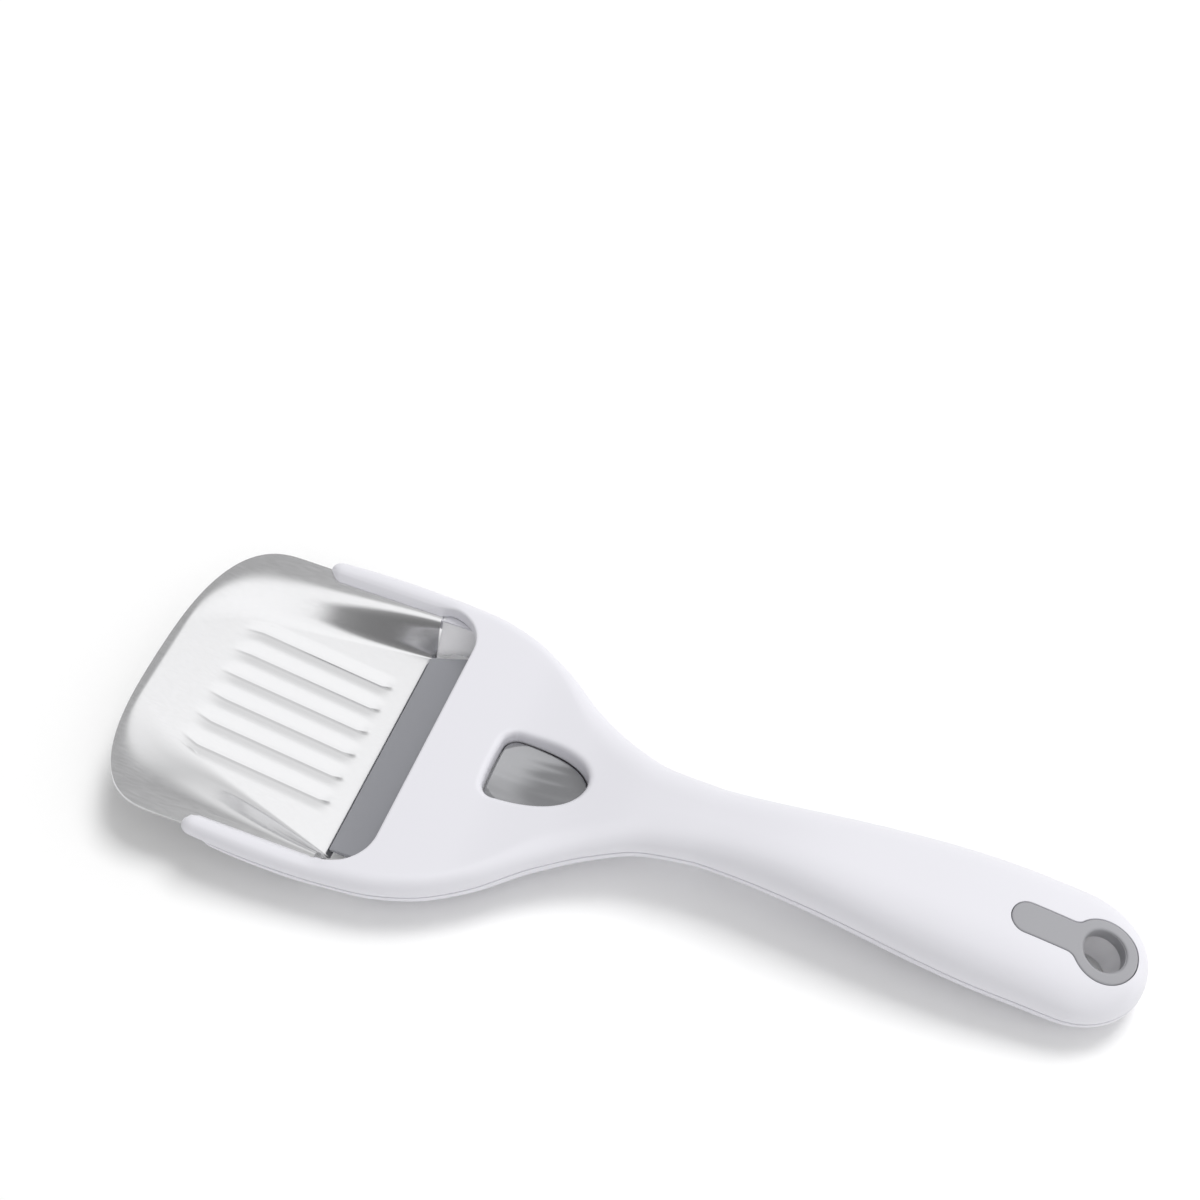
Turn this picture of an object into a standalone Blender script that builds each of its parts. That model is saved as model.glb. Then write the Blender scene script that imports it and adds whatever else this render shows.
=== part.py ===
"""Pull-type cheese plane with a sprung thickness gate, modelled in metres, +Z up.

The tool lies on its cutting edge and the end of its handle.  +X points to the handle's end,
+Y runs across the tool, and the tool is symmetric about y = 0.
"""
from math import atan2, cos, pi, radians, sin, sqrt, tan

import bmesh
import bpy
from mathutils import Matrix

# Stations along the tool
TRAY_TIP_X = -0.1200
ARM_TIP_X = -0.0920
LOWER_ARM_TIP_X = -0.0868
HEAD_WIDE_X = -0.0720
GATE_NOSE_X = -0.0616
CHIN_X = -0.0580
SHOULDER_X = -0.0560
MOUTH_X = -0.0490
SOLE_END_X = -0.0160
RISE_X = -0.0140
WAIST_X = 0.0040
NECK_X = 0.0200
HUMP_X = 0.0450
BACK_X = 0.0700
GRIP_X = 0.0900
CAVITY_END_X = 0.0980
END_ARC_X = 0.1030
END_X = 0.1200

# Half widths across the tool
HEAD_HALF = 0.0426
HEAD_BOW = 0.0010
NECK_HALF = 0.0099
GRIP_HALF = 0.0160
ARM_WIDTH = 0.0049
MOUTH_HALF = HEAD_HALF - ARM_WIDTH
MOUTH_CORNER = 0.0100
LIP_CORNER = 0.0015
EDGE_ROUND_HEAD = 0.0042
EDGE_ROUND_SOLE = 0.0140
GRIP_ROUND_TOP = 0.78
GRIP_ROUND_UNDER = 0.86
SOLE_SQUARENESS = 2.3
ARM_SQUARENESS = 3.2
TIP_BEVEL = 0.0012
TIP_INSET = 0.0004
TIP_SKIN = 0.0005
TIP_PINCH = 0.985

# Heights above the table
ARM_TOP_Z = 0.0156
HEAD_TOP_Z = 0.0137
RISE_TOP_Z = 0.0151
WAIST_TOP_Z = 0.0184
NECK_TOP_Z = 0.0203
HUMP_Z = 0.0220
BACK_TOP_Z = 0.0209
GRIP_TOP_Z = 0.0189
END_TOP_Z = 0.0150
END_TOP_DROP = 0.0025
HEAD_SEAM_Z = 0.0091
RISE_SEAM_Z = 0.0108
HUMP_SEAM_Z = 0.0140
GRIP_SEAM_Z = 0.0102
END_SEAM_Z = 0.0077
END_SEAM_DROP = 0.0006
ARM_UNDER_Z = 0.0088
ARM_ROOT_UNDER_Z = 0.0075
CHIN_UNDER_Z = 0.0052
SOLE_Z = 0.0028
WAIST_UNDER_Z = 0.0058
NECK_UNDER_Z = 0.0077
HUMP_UNDER_Z = 0.0062
BACK_UNDER_Z = 0.0034
GRIP_UNDER_Z = 0.0014
END_UNDER_Z = 0.0
END_UNDER_RISE = 0.0012

# Moulded walls and the clearances between pieces
WALL = 0.0020
SOLE_WALL = 0.0017
SEAM_GAP = 0.0003
FIT = 0.0003
RUNNING = 0.00015
ROOT = 0.0004
CAVITY_OVERRUN = 0.0010
SKIRT_FOOT_Z = 0.0086
LIP_SETBACK = 0.0014

# Stamped steel plate
SHEET = 0.0007
FLANGE_COVER = 0.0031
FLANGE_HALF = HEAD_HALF - FLANGE_COVER
FLANGE_WIDTH = 0.0048
BEND_WIDTH = 0.0012
BEND_HALF = FLANGE_HALF - FLANGE_WIDTH
WALL_FLARE = 0.0044
CREASE_BACK = BEND_HALF - WALL_FLARE
CREASE_TIP = 0.0150
TIP_CORNER = 0.0200
TIP_FLAT = 0.0015
TIP_SQUARENESS = 2.7
EDGE_THINNED = 0.15
RIM_Z_BACK = 0.0096
RIM_Z_TIP = 0.0130
EDGE_LEAD = 0.0004
CUT_EDGE_X = GATE_NOSE_X + EDGE_LEAD
EDGE_GRIND = 0.0015
EAR_LENGTH = 0.0080
EAR_X = CUT_EDGE_X + EAR_LENGTH
EAR_SKIN = 0.0020
EAR_WIDEN = 0.0008
EAR_STEP = 0.0005
EAR_INNER = MOUTH_HALF + EAR_STEP
LIP_BULGE = 0.0011
LIP_FACE = 0.0010
LIP_HEIGHT = 0.0026
CHEEK_FOOT_Z = 0.0018
CHEEK_THICK = 0.0022
CHEEK_RUN = 0.0012
WALL_STEPS = (0.12, 0.35, 0.65, 0.88, 1.0)
WALL_STRAIGHT = 0.6
FLUTE_DEPTH = 0.0006
FLUTE_PITCH = 0.0070
FLUTE_COUNT = 3
FLUTE_EDGE = 0.0011
FLUTE_BED = 0.0004
FLUTE_START = 0.0050
FLUTE_RAMP = 0.0040
FLUTE_END = 0.0140
FLUTE_FADE = 0.0060
FLUTE_CREASE = 0.0200
FLOOR_EDGE = 0.94

# Thickness gate
GATE_NOSE_Z = 0.0019
GATE_NOSE_THICK = 0.0006
GATE_SIDE_GAP = 0.0010
GATE_FRONT_HALF = CREASE_BACK - GATE_SIDE_GAP
GATE_FLARE = 0.0019
GATE_REAR_HALF = GATE_FRONT_HALF + GATE_FLARE
GATE_SLOPE = radians(14.5)
GATE_TAIL = 0.0051
GATE_REAR_X = MOUTH_X + GATE_TAIL

# Lever, its pin and spring
PIVOT_X = -0.0380
PIVOT_Z = 0.0080
PIN_RADIUS = 0.0012
PIN_HALF = 0.0168
BARREL_RADIUS = 0.0026
BARREL_HALF = 0.0126
POST_THICK = 0.0030
POST_HALF = 0.0028
POST_OVER = 0.0006
LEVER_INSET = 0.0043
LEVER_FRONT_HALF = GATE_FRONT_HALF - LEVER_INSET
LEVER_LAP = 0.0023
LEVER_FRONT_X = GATE_REAR_X - LEVER_LAP
LEVER_ARM_Z = 0.0073
LEVER_ARM_THICK = 0.0010
LEVER_ARM_HALF = 0.0062
SPRING_X = -0.0240
SPRING_RADIUS = 0.0026
SPRING_WIRE = 0.0002
SPRING_TURNS = 2.5
SPRING_SEAT = 0.0008
SPRING_SEAT_GAP = 0.0007

# Thumb window and pad
WINDOW_X = -0.0318
WINDOW_LENGTH = 0.0224
WINDOW_HALF = 0.0091
WINDOW_CORNER = 0.0026
WINDOW_SQUARENESS = 2.6
WINDOW_RIM = 0.0012
PAD_OVERHANG = 0.0032
COLLAR_WALL = 0.0014
COLLAR_FOOT_Z = 0.0098
PAD_CLEARANCE = 0.0006
PAD_EDGE_Z = 0.0105
PAD_DISH = 0.0011
DISH_RADIUS = 0.0040
DISH_CENTRE = 0.47
DISH_REACH = 0.58
DISH_SPREAD = 1.08
PEG_RADIUS = 0.0009

# Hanging eyelet in the handle
EYELET_X = 0.1095
EYELET_RADIUS = 0.0080
EYELET_BORE = 0.0053
EYELET_TAIL = 0.0180
EYELET_TAIL_RADIUS = 0.0038
EYELET_PLATE = 0.0016
EYELET_TUBE_WALL = 0.0011
EYELET_FILLET = 0.0030
TUBE_FOOT = 0.0018
EYELET_TILT = radians(12.0)

# Self-tapping screws in the underside
SCREW_HEAD_RADIUS = 0.0027
SCREW_HEAD_THICK = 0.0016
SCREW_SINK = 0.0005
SCREW_POINT = 0.0012
SCREW_RADIUS = 0.0013
SCREW_BOSS_RADIUS = 0.0033
HEAD_SCREW_X = -0.0300
HEAD_SCREW_Y = 0.0225
NECK_SCREW_X = 0.0240
GRIP_SCREW_X = 0.0800

# Share of the way from shoulder to neck, and share of the width still left there
SHOULDER_CURVE = ((0.0, 1.0), (0.10, 0.975), (0.24, 0.885), (0.40, 0.675), (0.55, 0.39),
                  (0.70, 0.175), (0.84, 0.045), (1.0, 0.0))

# Spacing of the loft's sections, and steps round its curved edges
ARM_SPACING = 0.0075
HEAD_SPACING = 0.0043
GRIP_SPACING = 0.0085
ARC_STEPS = 5
RIM_STEPS = 6


def clear_scene():
    for item in list(bpy.data.objects):
        bpy.data.objects.remove(item)


def new_collection(name):
    group = bpy.data.collections.new(name)
    bpy.context.scene.collection.children.link(group)
    return group


clear_scene()
PARTS = new_collection("cheese_plane")
CUTTERS = new_collection("cutters")


def plastic(name, colour, roughness, metallic=0.0):
    material = bpy.data.materials.new(name)
    material.use_nodes = True
    shader = material.node_tree.nodes["Principled BSDF"]
    shader.inputs["Base Color"].default_value = (*colour, 1.0)
    shader.inputs["Roughness"].default_value = roughness
    shader.inputs["Metallic"].default_value = metallic
    return material


def keep(item, material):
    """Put a finished sub-part in the parts collection with its own material."""
    for group in list(item.users_collection):
        group.objects.unlink(item)
    PARTS.objects.link(item)
    item.data.materials.clear()
    item.data.materials.append(material)
    return item


def as_cutter(item):
    for group in list(item.users_collection):
        group.objects.unlink(item)
    CUTTERS.objects.link(item)
    item.hide_render = True
    item.display_type = "WIRE"
    return item


def boolean(item, tool, operation):
    modifier = item.modifiers.new(operation.lower() + "_" + tool.name, "BOOLEAN")
    modifier.operation = operation
    modifier.solver = "EXACT"
    modifier.object = as_cutter(tool)
    return item


def cut(item, tool):
    return boolean(item, tool, "DIFFERENCE")


def join(item, tool):
    return boolean(item, tool, "UNION")


def mesh_object(name, build):
    """An object whose mesh is filled by build(bm)."""
    mesh = bpy.data.meshes.new(name)
    bm = bmesh.new()
    build(bm)
    bmesh.ops.recalc_face_normals(bm, faces=bm.faces)
    bm.to_mesh(mesh)
    bm.free()
    item = bpy.data.objects.new(name, mesh)
    bpy.context.scene.collection.objects.link(item)
    return item


def smooth_shade(item, angle=35):
    item.data.shade_smooth()
    item.data.set_sharp_from_angle(angle=radians(angle))
    return item


def loft(name, rings):
    """A closed solid through rings of equal point counts, with its end rings capped."""
    def build(bm):
        rows = [[bm.verts.new(point) for point in ring] for ring in rings]
        count = len(rows[0])
        for near, far in zip(rows, rows[1:]):
            for i in range(count):
                j = (i + 1) % count
                bm.faces.new((near[i], near[j], far[j], far[i]))
        bm.faces.new(rows[0])
        bm.faces.new(rows[-1])
    return mesh_object(name, build)


def plate(name, outline, low, high):
    """A flat outline in plan, filled and given its thickness from low to high."""
    curve = bpy.data.curves.new(name, "CURVE")
    curve.dimensions = "2D"
    curve.fill_mode = "BOTH"
    curve.extrude = (high - low) / 2
    spline = curve.splines.new("POLY")
    spline.points.add(len(outline) - 1)
    for point, (x, y) in zip(spline.points, outline):
        point.co = (x, y, 0.0, 1.0)
    spline.use_cyclic_u = True
    flat = bpy.data.objects.new(name + "_curve", curve)
    bpy.context.scene.collection.objects.link(flat)
    bpy.context.view_layer.update()
    evaluated = flat.evaluated_get(bpy.context.evaluated_depsgraph_get())
    mesh = bpy.data.meshes.new_from_object(evaluated)
    mesh.name = name
    bm = bmesh.new()
    bm.from_mesh(mesh)
    bmesh.ops.remove_doubles(bm, verts=bm.verts, dist=0.000001)
    bmesh.ops.recalc_face_normals(bm, faces=bm.faces)
    bmesh.ops.translate(bm, verts=bm.verts, vec=(0.0, 0.0, (low + high) / 2))
    bm.to_mesh(mesh)
    bm.free()
    bpy.data.objects.remove(flat)
    item = bpy.data.objects.new(name, mesh)
    bpy.context.scene.collection.objects.link(item)
    return item


def side_prism(name, profile, half):
    """A profile in the XZ plane carried straight across the tool from -half to +half."""
    rings = [[(x, side * half, z) for x, z in profile] for side in (-1, 1)]
    return loft(name, rings)


def cylinder(name, radius, low, high, centre=(0.0, 0.0), segments=24, tilt=0.0, pivot_z=0.0):
    """An upright cylinder from low to high, which may lean about a Y axis at pivot_z."""
    bpy.ops.mesh.primitive_cylinder_add(vertices=segments, radius=radius, depth=high - low)
    item = bpy.context.object
    item.name = name
    lift = Matrix.Translation((0.0, 0.0, (low + high) / 2 - pivot_z))
    place = Matrix.Translation((centre[0], centre[1], pivot_z))
    item.data.transform(place @ Matrix.Rotation(tilt, 4, "Y") @ lift)
    return item


def cross_pin(name, radius, half, x, z, y=0.0, segments=24):
    """A cylinder that lies across the tool."""
    bpy.ops.mesh.primitive_cylinder_add(vertices=segments, radius=radius, depth=2 * half)
    item = bpy.context.object
    item.name = name
    place = Matrix.Translation((x, y, z))
    item.data.transform(place @ Matrix.Rotation(pi / 2, 4, "X"))
    return item


def box(name, low, high):
    bpy.ops.mesh.primitive_cube_add(size=1.0)
    item = bpy.context.object
    item.name = name
    size = [b - a for a, b in zip(low, high)]
    middle = [(a + b) / 2 for a, b in zip(low, high)]
    item.data.transform(Matrix.Translation(middle) @ Matrix.Diagonal((*size, 1.0)))
    return item


def through(knots, x):
    """A smooth curve through (station, value) knots that never overshoots them."""
    if x <= knots[0][0]:
        return knots[0][1]
    if x >= knots[-1][0]:
        return knots[-1][1]
    i = max(k for k in range(len(knots) - 1) if knots[k][0] <= x)

    def rise(k):
        return (knots[k + 1][1] - knots[k][1]) / (knots[k + 1][0] - knots[k][0])

    def slope(k):
        if k == 0 or k == len(knots) - 1:
            return rise(min(k, len(knots) - 2))
        before, after = rise(k - 1), rise(k)
        return 2 * before * after / (before + after) if before * after > 0 else 0.0

    (x0, v0), (x1, v1) = knots[i], knots[i + 1]
    span = x1 - x0
    t = (x - x0) / span
    return ((2 * t ** 3 - 3 * t ** 2 + 1) * v0 + (t ** 3 - 2 * t ** 2 + t) * span * slope(i)
            + (3 * t ** 2 - 2 * t ** 3) * v1 + (t ** 3 - t ** 2) * span * slope(i + 1))


def ease(t):
    t = min(max(t, 0.0), 1.0)
    return t * t * (3 - 2 * t)


def rim_z(x):
    """Height of the steel flange's underside, a straight line from the head to the tip."""
    share = (x - CUT_EDGE_X) / (TRAY_TIP_X - CUT_EDGE_X)
    return RIM_Z_BACK + (RIM_Z_TIP - RIM_Z_BACK) * share


def half_width(x):
    """Half the width of the white body in plan."""
    bow = HEAD_BOW * ((min(x, SHOULDER_X) - HEAD_WIDE_X) / (HEAD_WIDE_X - ARM_TIP_X)) ** 2
    head = HEAD_HALF - min(bow, HEAD_BOW)
    if x < SHOULDER_X:
        return head
    if x < NECK_X:
        share = (x - SHOULDER_X) / (NECK_X - SHOULDER_X)
        return NECK_HALF + (head - NECK_HALF) * through(SHOULDER_CURVE, share)
    grip = NECK_HALF + (GRIP_HALF - NECK_HALF) * ease((x - NECK_X) / (GRIP_X - NECK_X))
    if x < END_ARC_X:
        return grip
    share = (x - END_ARC_X) / (END_X - END_ARC_X)
    return grip * sqrt(max(1 - share ** 2, 0.0))


def end_close(x):
    """1 along the handle, falling to 0 at its end, for the heights."""
    length = 0.25 * (END_X - END_ARC_X)
    share = (x - END_X + length) / length
    return sqrt(max(1 - max(share, 0.0) ** 2, 0.0))


def seam_z(x):
    """Height of the joint between the two shells."""
    if x < GATE_NOSE_X:
        return rim_z(x) + SHEET / 2
    knots = ((GATE_NOSE_X, rim_z(GATE_NOSE_X) + SHEET / 2), (WINDOW_X, HEAD_SEAM_Z),
             (RISE_X, RISE_SEAM_Z), (NECK_X, HUMP_SEAM_Z), (HUMP_X, HUMP_SEAM_Z),
             (GRIP_X, GRIP_SEAM_Z), (EYELET_X, END_SEAM_Z), (END_X, END_SEAM_Z - END_SEAM_DROP))
    return through(knots, x)


def top_z(x):
    knots = ((ARM_TIP_X, ARM_TOP_Z), (SHOULDER_X, HEAD_TOP_Z), (WINDOW_X, HEAD_TOP_Z),
             (RISE_X, RISE_TOP_Z), (WAIST_X, WAIST_TOP_Z), (NECK_X, NECK_TOP_Z), (HUMP_X, HUMP_Z),
             (BACK_X, BACK_TOP_Z), (GRIP_X, GRIP_TOP_Z), (EYELET_X, END_TOP_Z),
             (END_X, END_TOP_Z - END_TOP_DROP))
    seam = seam_z(x)
    return seam + (through(knots, x) - seam) * end_close(x)


def under_z(x):
    knots = ((ARM_TIP_X, ARM_UNDER_Z), (HEAD_WIDE_X, ARM_ROOT_UNDER_Z), (CHIN_X, CHIN_UNDER_Z),
             (MOUTH_X, SOLE_Z), (SOLE_END_X, SOLE_Z), (WAIST_X, WAIST_UNDER_Z),
             (NECK_X, NECK_UNDER_Z), (HUMP_X, HUMP_UNDER_Z), (BACK_X, BACK_UNDER_Z),
             (GRIP_X, GRIP_UNDER_Z), (END_ARC_X, END_UNDER_Z), (END_X, END_UNDER_Z + END_UNDER_RISE))
    seam = seam_z(x)
    return seam - (seam - through(knots, x)) * end_close(x)


def round_width(x, head_round, grip_share):
    """How far in from the side the section's edge keeps curving."""
    along = ease((x - WINDOW_X) / (NECK_X - WINDOW_X))
    return head_round * (1 - along) + grip_share * half_width(x) * along


def squareness(x, side):
    """Power of the section's curved edge: 2 is an ellipse, more is boxier."""
    if side > 0:
        return 2.0
    arms = 1 - ease((x - HEAD_WIDE_X) / (MOUTH_X - HEAD_WIDE_X))
    sole = 1 - ease((x - WINDOW_X) / (NECK_X - WINDOW_X))
    return 2.0 + (SOLE_SQUARENESS - 2.0) * sole + (ARM_SQUARENESS - SOLE_SQUARENESS) * arms


def half_section(x, side, inset=0.0, skin=0.0):
    """Points of one shell's outline at x, from +Y over the crown (or sole) to -Y."""
    start = seam_z(x) + side * SEAM_GAP / 2
    crown = top_z(x) if side > 0 else under_z(x)
    height = crown - side * skin - start
    a = half_width(x) - inset
    if side > 0:
        width = round_width(x, EDGE_ROUND_HEAD, GRIP_ROUND_TOP)
    else:
        width = round_width(x, EDGE_ROUND_SOLE, GRIP_ROUND_UNDER)
    width = min(max(width - inset, ROOT / 2), a)
    if x < GATE_NOSE_X and side < 0:
        width = min(width, EDGE_ROUND_HEAD)
    quarter = []
    power = 2 / squareness(x, side)
    for step in range(ARC_STEPS + 1):
        angle = pi / 2 * step / ARC_STEPS
        out, up = max(cos(angle), 0.0) ** power, sin(angle) ** power
        quarter.append((a - width + width * out, start + height * up))
    quarter[-1] = (max(quarter[-1][0], ROOT / 2), quarter[-1][1])
    return [(y, z) for y, z in quarter] + [(-y, z) for y, z in reversed(quarter)]


def stations(first, last, step):
    count = max(int(round((last - first) / step)), 1)
    return [first + (last - first) * i / count for i in range(count + 1)]


def shell_solid(name, side, tip_x):
    """One half of the body as a solid loft, upper (side 1) or lower (side -1)."""
    run = stations(tip_x + TIP_BEVEL, MOUTH_X, ARM_SPACING)
    run += stations(MOUTH_X, NECK_X, HEAD_SPACING)[1:] + stations(NECK_X, END_ARC_X, GRIP_SPACING)[1:]
    run += [END_X - (END_X - END_ARC_X) * (1 - sin(pi / 2 * k / 7)) for k in range(1, 7)]
    rings = []
    nose = [(y * TIP_PINCH, z) for y, z in half_section(tip_x, side, TIP_INSET, TIP_SKIN)]
    rings.append([(tip_x, y, z) for y, z in nose])
    for x in run:
        rings.append([(x, y, z) for y, z in half_section(x, side)])
    rings.append([(END_X, y, z) for y, z in half_section(END_X - RUNNING, side)])
    return loft(name, rings)


def shell_cavity(name, side, first, last):
    """The hollow inside one shell, running a little past the seam so that it opens there."""
    skin = WALL if side > 0 else SOLE_WALL
    rings = []
    for x in stations(first, last, ARM_SPACING):
        section = half_section(x, side, WALL, skin)
        overrun = seam_z(x) - side * CAVITY_OVERRUN
        ends = [(section[-1][0], overrun), (section[0][0], overrun)]
        rings.append([(x, y, z) for y, z in section + ends])
    return loft(name, rings)


def arc(cx, cy, radius, start, end, steps):
    return [(cx + radius * cos(start + (end - start) * k / steps),
             cy + radius * sin(start + (end - start) * k / steps)) for k in range(steps + 1)]


def mouth_outline(half, front, corner):
    """The mouth between the arms in plan: open at the tips, rounded at the head."""
    outline = [(ARM_TIP_X - WALL, -half)]
    outline += arc(front - corner, -half + corner, corner, -pi / 2, 0.0, RIM_STEPS)
    outline += arc(front - corner, half - corner, corner, 0.0, pi / 2, RIM_STEPS)
    outline.append((ARM_TIP_X - WALL, half))
    return outline


def window_outline(grow=0.0):
    """The thumb window: straight towards the mouth, rounded towards the handle."""
    front, back = WINDOW_X - grow, WINDOW_X + WINDOW_LENGTH + grow
    half = WINDOW_HALF + grow
    corner = WINDOW_CORNER
    side = []
    for k in range(9):
        share = sin(pi / 2 * k / 8)
        x = back - (back - front - corner) * (1 - share)
        t = (x - front) / (back - front)
        side.append((x, half * sqrt(max(1 - t ** WINDOW_SQUARENESS, 0.0))))
    first = side[0]
    lead = arc(front + corner, first[1] - corner, corner, pi, pi / 2, 4)[:-1]
    upper = lead + side
    return upper + [(x, -y) for x, y in reversed(upper[:-1])]


def eyelet_outline(grow=0.0):
    """The eyelet's plate in its own frame: a ring with a tail towards the head."""
    ring, tail = EYELET_RADIUS + grow, EYELET_TAIL_RADIUS + grow
    fillet = EYELET_FILLET - grow
    reach = sqrt((ring + fillet) ** 2 - (tail + fillet) ** 2)
    meet = pi - atan2(tail + fillet, reach)
    upper = arc(-EYELET_TAIL, 0.0, tail, pi, pi / 2, 6)
    upper += arc(-reach, tail + fillet, fillet, -pi / 2, meet - pi, 4)
    upper += arc(0.0, 0.0, ring, meet, 0.0, 14)[1:]
    return upper + [(x, -y) for x, y in reversed(upper[1:-1])]


def to_eyelet(item):
    """Carry a piece from the eyelet's own frame to the handle's sloping top."""
    place = Matrix.Translation((EYELET_X, 0.0, top_z(EYELET_X)))
    item.data.transform(place @ Matrix.Rotation(EYELET_TILT, 4, "Y"))
    return item


def tip_squeeze(x):
    """1 along the tray, falling to 0 at its squared-off round tip."""
    u = max((TRAY_TIP_X + TIP_CORNER - x) / TIP_CORNER, 0.0)
    return max(1 - u ** TIP_SQUARENESS, 0.0) ** (1 / TIP_SQUARENESS)


def flange_half(x):
    """Outer half width of the steel flange: it widens a little inside the arms."""
    wide = FLANGE_HALF + EAR_WIDEN * ease((x - LOWER_ARM_TIP_X) / (CHIN_X - LOWER_ARM_TIP_X))
    if x > SHOULDER_X:
        return min(wide, half_width(x) - EAR_SKIN)
    return wide * tip_squeeze(x)


def floor_z(x):
    """Underside of the tray floor: a straight ramp from the cutting edge up to the tip."""
    share = (CUT_EDGE_X - x) / (CUT_EDGE_X - TRAY_TIP_X - TIP_FLAT)
    return min(rim_z(TRAY_TIP_X) * share, rim_z(x))


def flute_depth(x):
    """How deep the flutes are at x: they fade in behind the cutting edge and out before the tip."""
    start = ease((CUT_EDGE_X - FLUTE_START - x) / FLUTE_RAMP)
    return FLUTE_DEPTH * start * ease((x - TRAY_TIP_X - FLUTE_END) / FLUTE_FADE)


def plate_section(x):
    """Half of the tray's underside at x: floor with pressed flutes, flared wall, bend and flange."""
    low, rim = floor_z(x), rim_z(x)
    along = (CUT_EDGE_X - x) / (CUT_EDGE_X - TRAY_TIP_X)
    crease = CREASE_BACK + (CREASE_TIP - CREASE_BACK) * along
    crowd = min(1.0, crease / FLUTE_CREASE)
    points = [(0.0, low)]
    for k in range(FLUTE_COUNT):
        middle, bed = FLUTE_PITCH * (k + 0.5), low - flute_depth(x)
        points += [((middle - FLUTE_EDGE) * crowd, low), ((middle - FLUTE_BED) * crowd, bed),
                   ((middle + FLUTE_BED) * crowd, bed), ((middle + FLUTE_EDGE) * crowd, low)]
    points += [(FLOOR_EDGE * crease, low), (crease, low)]
    for v in WALL_STEPS:
        rise = WALL_STRAIGHT * v + (1 - WALL_STRAIGHT) * ease(v)
        points.append((crease + (BEND_HALF - crease) * v, low + (rim - low) * rise))
    points.append((BEND_HALF + BEND_WIDTH, rim))
    points.append((EAR_INNER, rim))
    points = [(y * tip_squeeze(x), z) for y, z in points]
    return points + [(flange_half(x), rim)]


def ear_section(x):
    """Half section behind the cutting edge, where only the flange goes on into the head."""
    return [(EAR_INNER, rim_z(x)), (flange_half(x), rim_z(x))]


def slicing_plate():
    """The stamped tray: one sheet, ground thin at its cutting edge, with clamped flanges."""
    corner = [TRAY_TIP_X + TIP_CORNER * (1 - sin(pi / 2 * k / 8)) for k in range(9)]
    rows = [CUT_EDGE_X - back for back in (0.0, EDGE_GRIND, FLUTE_START, FLUTE_START + FLUTE_RAMP / 2)]
    rows += stations(CUT_EDGE_X - FLUTE_START - FLUTE_RAMP, corner[0] + FLUTE_RAMP, ARM_SPACING) + corner
    behind = stations(CUT_EDGE_X, EAR_X, HEAD_SPACING)[1:]

    def build(bm):
        ear_points = len(ear_section(CUT_EDGE_X))
        for side in (1, -1):
            grid = [[bm.verts.new((x, side * y, z)) for y, z in plate_section(x)] for x in rows]
            back = [[bm.verts.new((x, side * y, z)) for y, z in ear_section(x)] for x in behind]
            strips = [(a, b) for a, b in zip(grid, grid[1:])]
            strips.append((grid[0][-ear_points:], back[0]))
            strips += [(a, b) for a, b in zip(back, back[1:])]
            for near, far in strips:
                for i in range(len(near) - 1):
                    bm.faces.new((near[i], near[i + 1], far[i + 1], far[i]))
        bmesh.ops.remove_doubles(bm, verts=bm.verts, dist=0.00001)

    item = mesh_object("slicing_plate", build)
    if sum(face.normal.z for face in item.data.polygons) < 0:
        item.data.flip_normals()
    weights = item.vertex_groups.new(name="thickness")
    for vertex in item.data.vertices:
        at_edge = vertex.co.x > CUT_EDGE_X - EDGE_GRIND / 2 and vertex.co.z < FLUTE_DEPTH
        weights.add([vertex.index], 0.0 if at_edge else 1.0, "REPLACE")
    sheet = item.modifiers.new("sheet", "SOLIDIFY")
    sheet.thickness = SHEET
    sheet.offset = 1.0
    sheet.vertex_group = "thickness"
    sheet.thickness_vertex_group = EDGE_THINNED
    return keep(item, plastic("steel", (0.72, 0.72, 0.74), 0.22, 1.0))


def cheek(name, side):
    """Sloping wall that carries the line of the steel's wall on into the head."""
    rings = []
    for x in stations(CUT_EDGE_X + FIT, MOUTH_X + CHEEK_RUN, HEAD_SPACING):
        high = seam_z(x) - SEAM_GAP
        foot = max(CHEEK_FOOT_Z, SOLE_Z * ease((x - CUT_EDGE_X) / GATE_TAIL))
        flare = (BEND_HALF - CREASE_BACK) / rim_z(x)
        lead = CREASE_BACK + flare * foot
        rings.append([(x, side * y, z) for y, z in (
            (lead, foot), (CREASE_BACK + flare * high, high), (BEND_HALF + CHEEK_THICK, high),
            (lead + CHEEK_THICK, foot))])
    return loft(name, rings)


def arm_lip(name, side):
    """Thickening low on the mouth's side wall, which hides the steel's ear."""
    rings = []
    for x in stations(CUT_EDGE_X + FIT, EAR_X + WALL, HEAD_SPACING):
        low = seam_z(x) + SEAM_GAP
        inner, outer = MOUTH_HALF - LIP_BULGE, EAR_INNER + FIT
        rings.append([(x, side * y, z) for y, z in (
            (outer, low), (inner, low), (inner, low + LIP_FACE), (outer, low + LIP_HEIGHT))])
    return loft(name, rings)


def flange_groove(name, side):
    """The slot in one arm that grips the steel flange: open along the arm, closed at the ear."""
    rings = []
    step = CUT_EDGE_X + FIT
    run = [(x, BEND_HALF - BEND_WIDTH) for x in stations(ARM_TIP_X - WALL, step, ARM_SPACING)]
    run += [(x, EAR_INNER - FIT) for x in stations(step + RUNNING, EAR_X + FIT, HEAD_SPACING)]
    for x, inner in run:
        outer = flange_half(x) + FIT
        low, high = rim_z(x) - FIT, rim_z(x) + SHEET + FIT
        rings.append([(x, side * y, z) for y, z in (
            (outer, low), (outer, high), (inner, high), (inner, low))])
    return loft(name, rings)


def screw_places():
    """Each shell screw's name and its place in plan."""
    return (("shell_screw_front_left", HEAD_SCREW_X, HEAD_SCREW_Y),
            ("shell_screw_front_right", HEAD_SCREW_X, -HEAD_SCREW_Y),
            ("shell_screw_neck", NECK_SCREW_X, 0.0),
            ("shell_screw_grip", GRIP_SCREW_X, 0.0))


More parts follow.
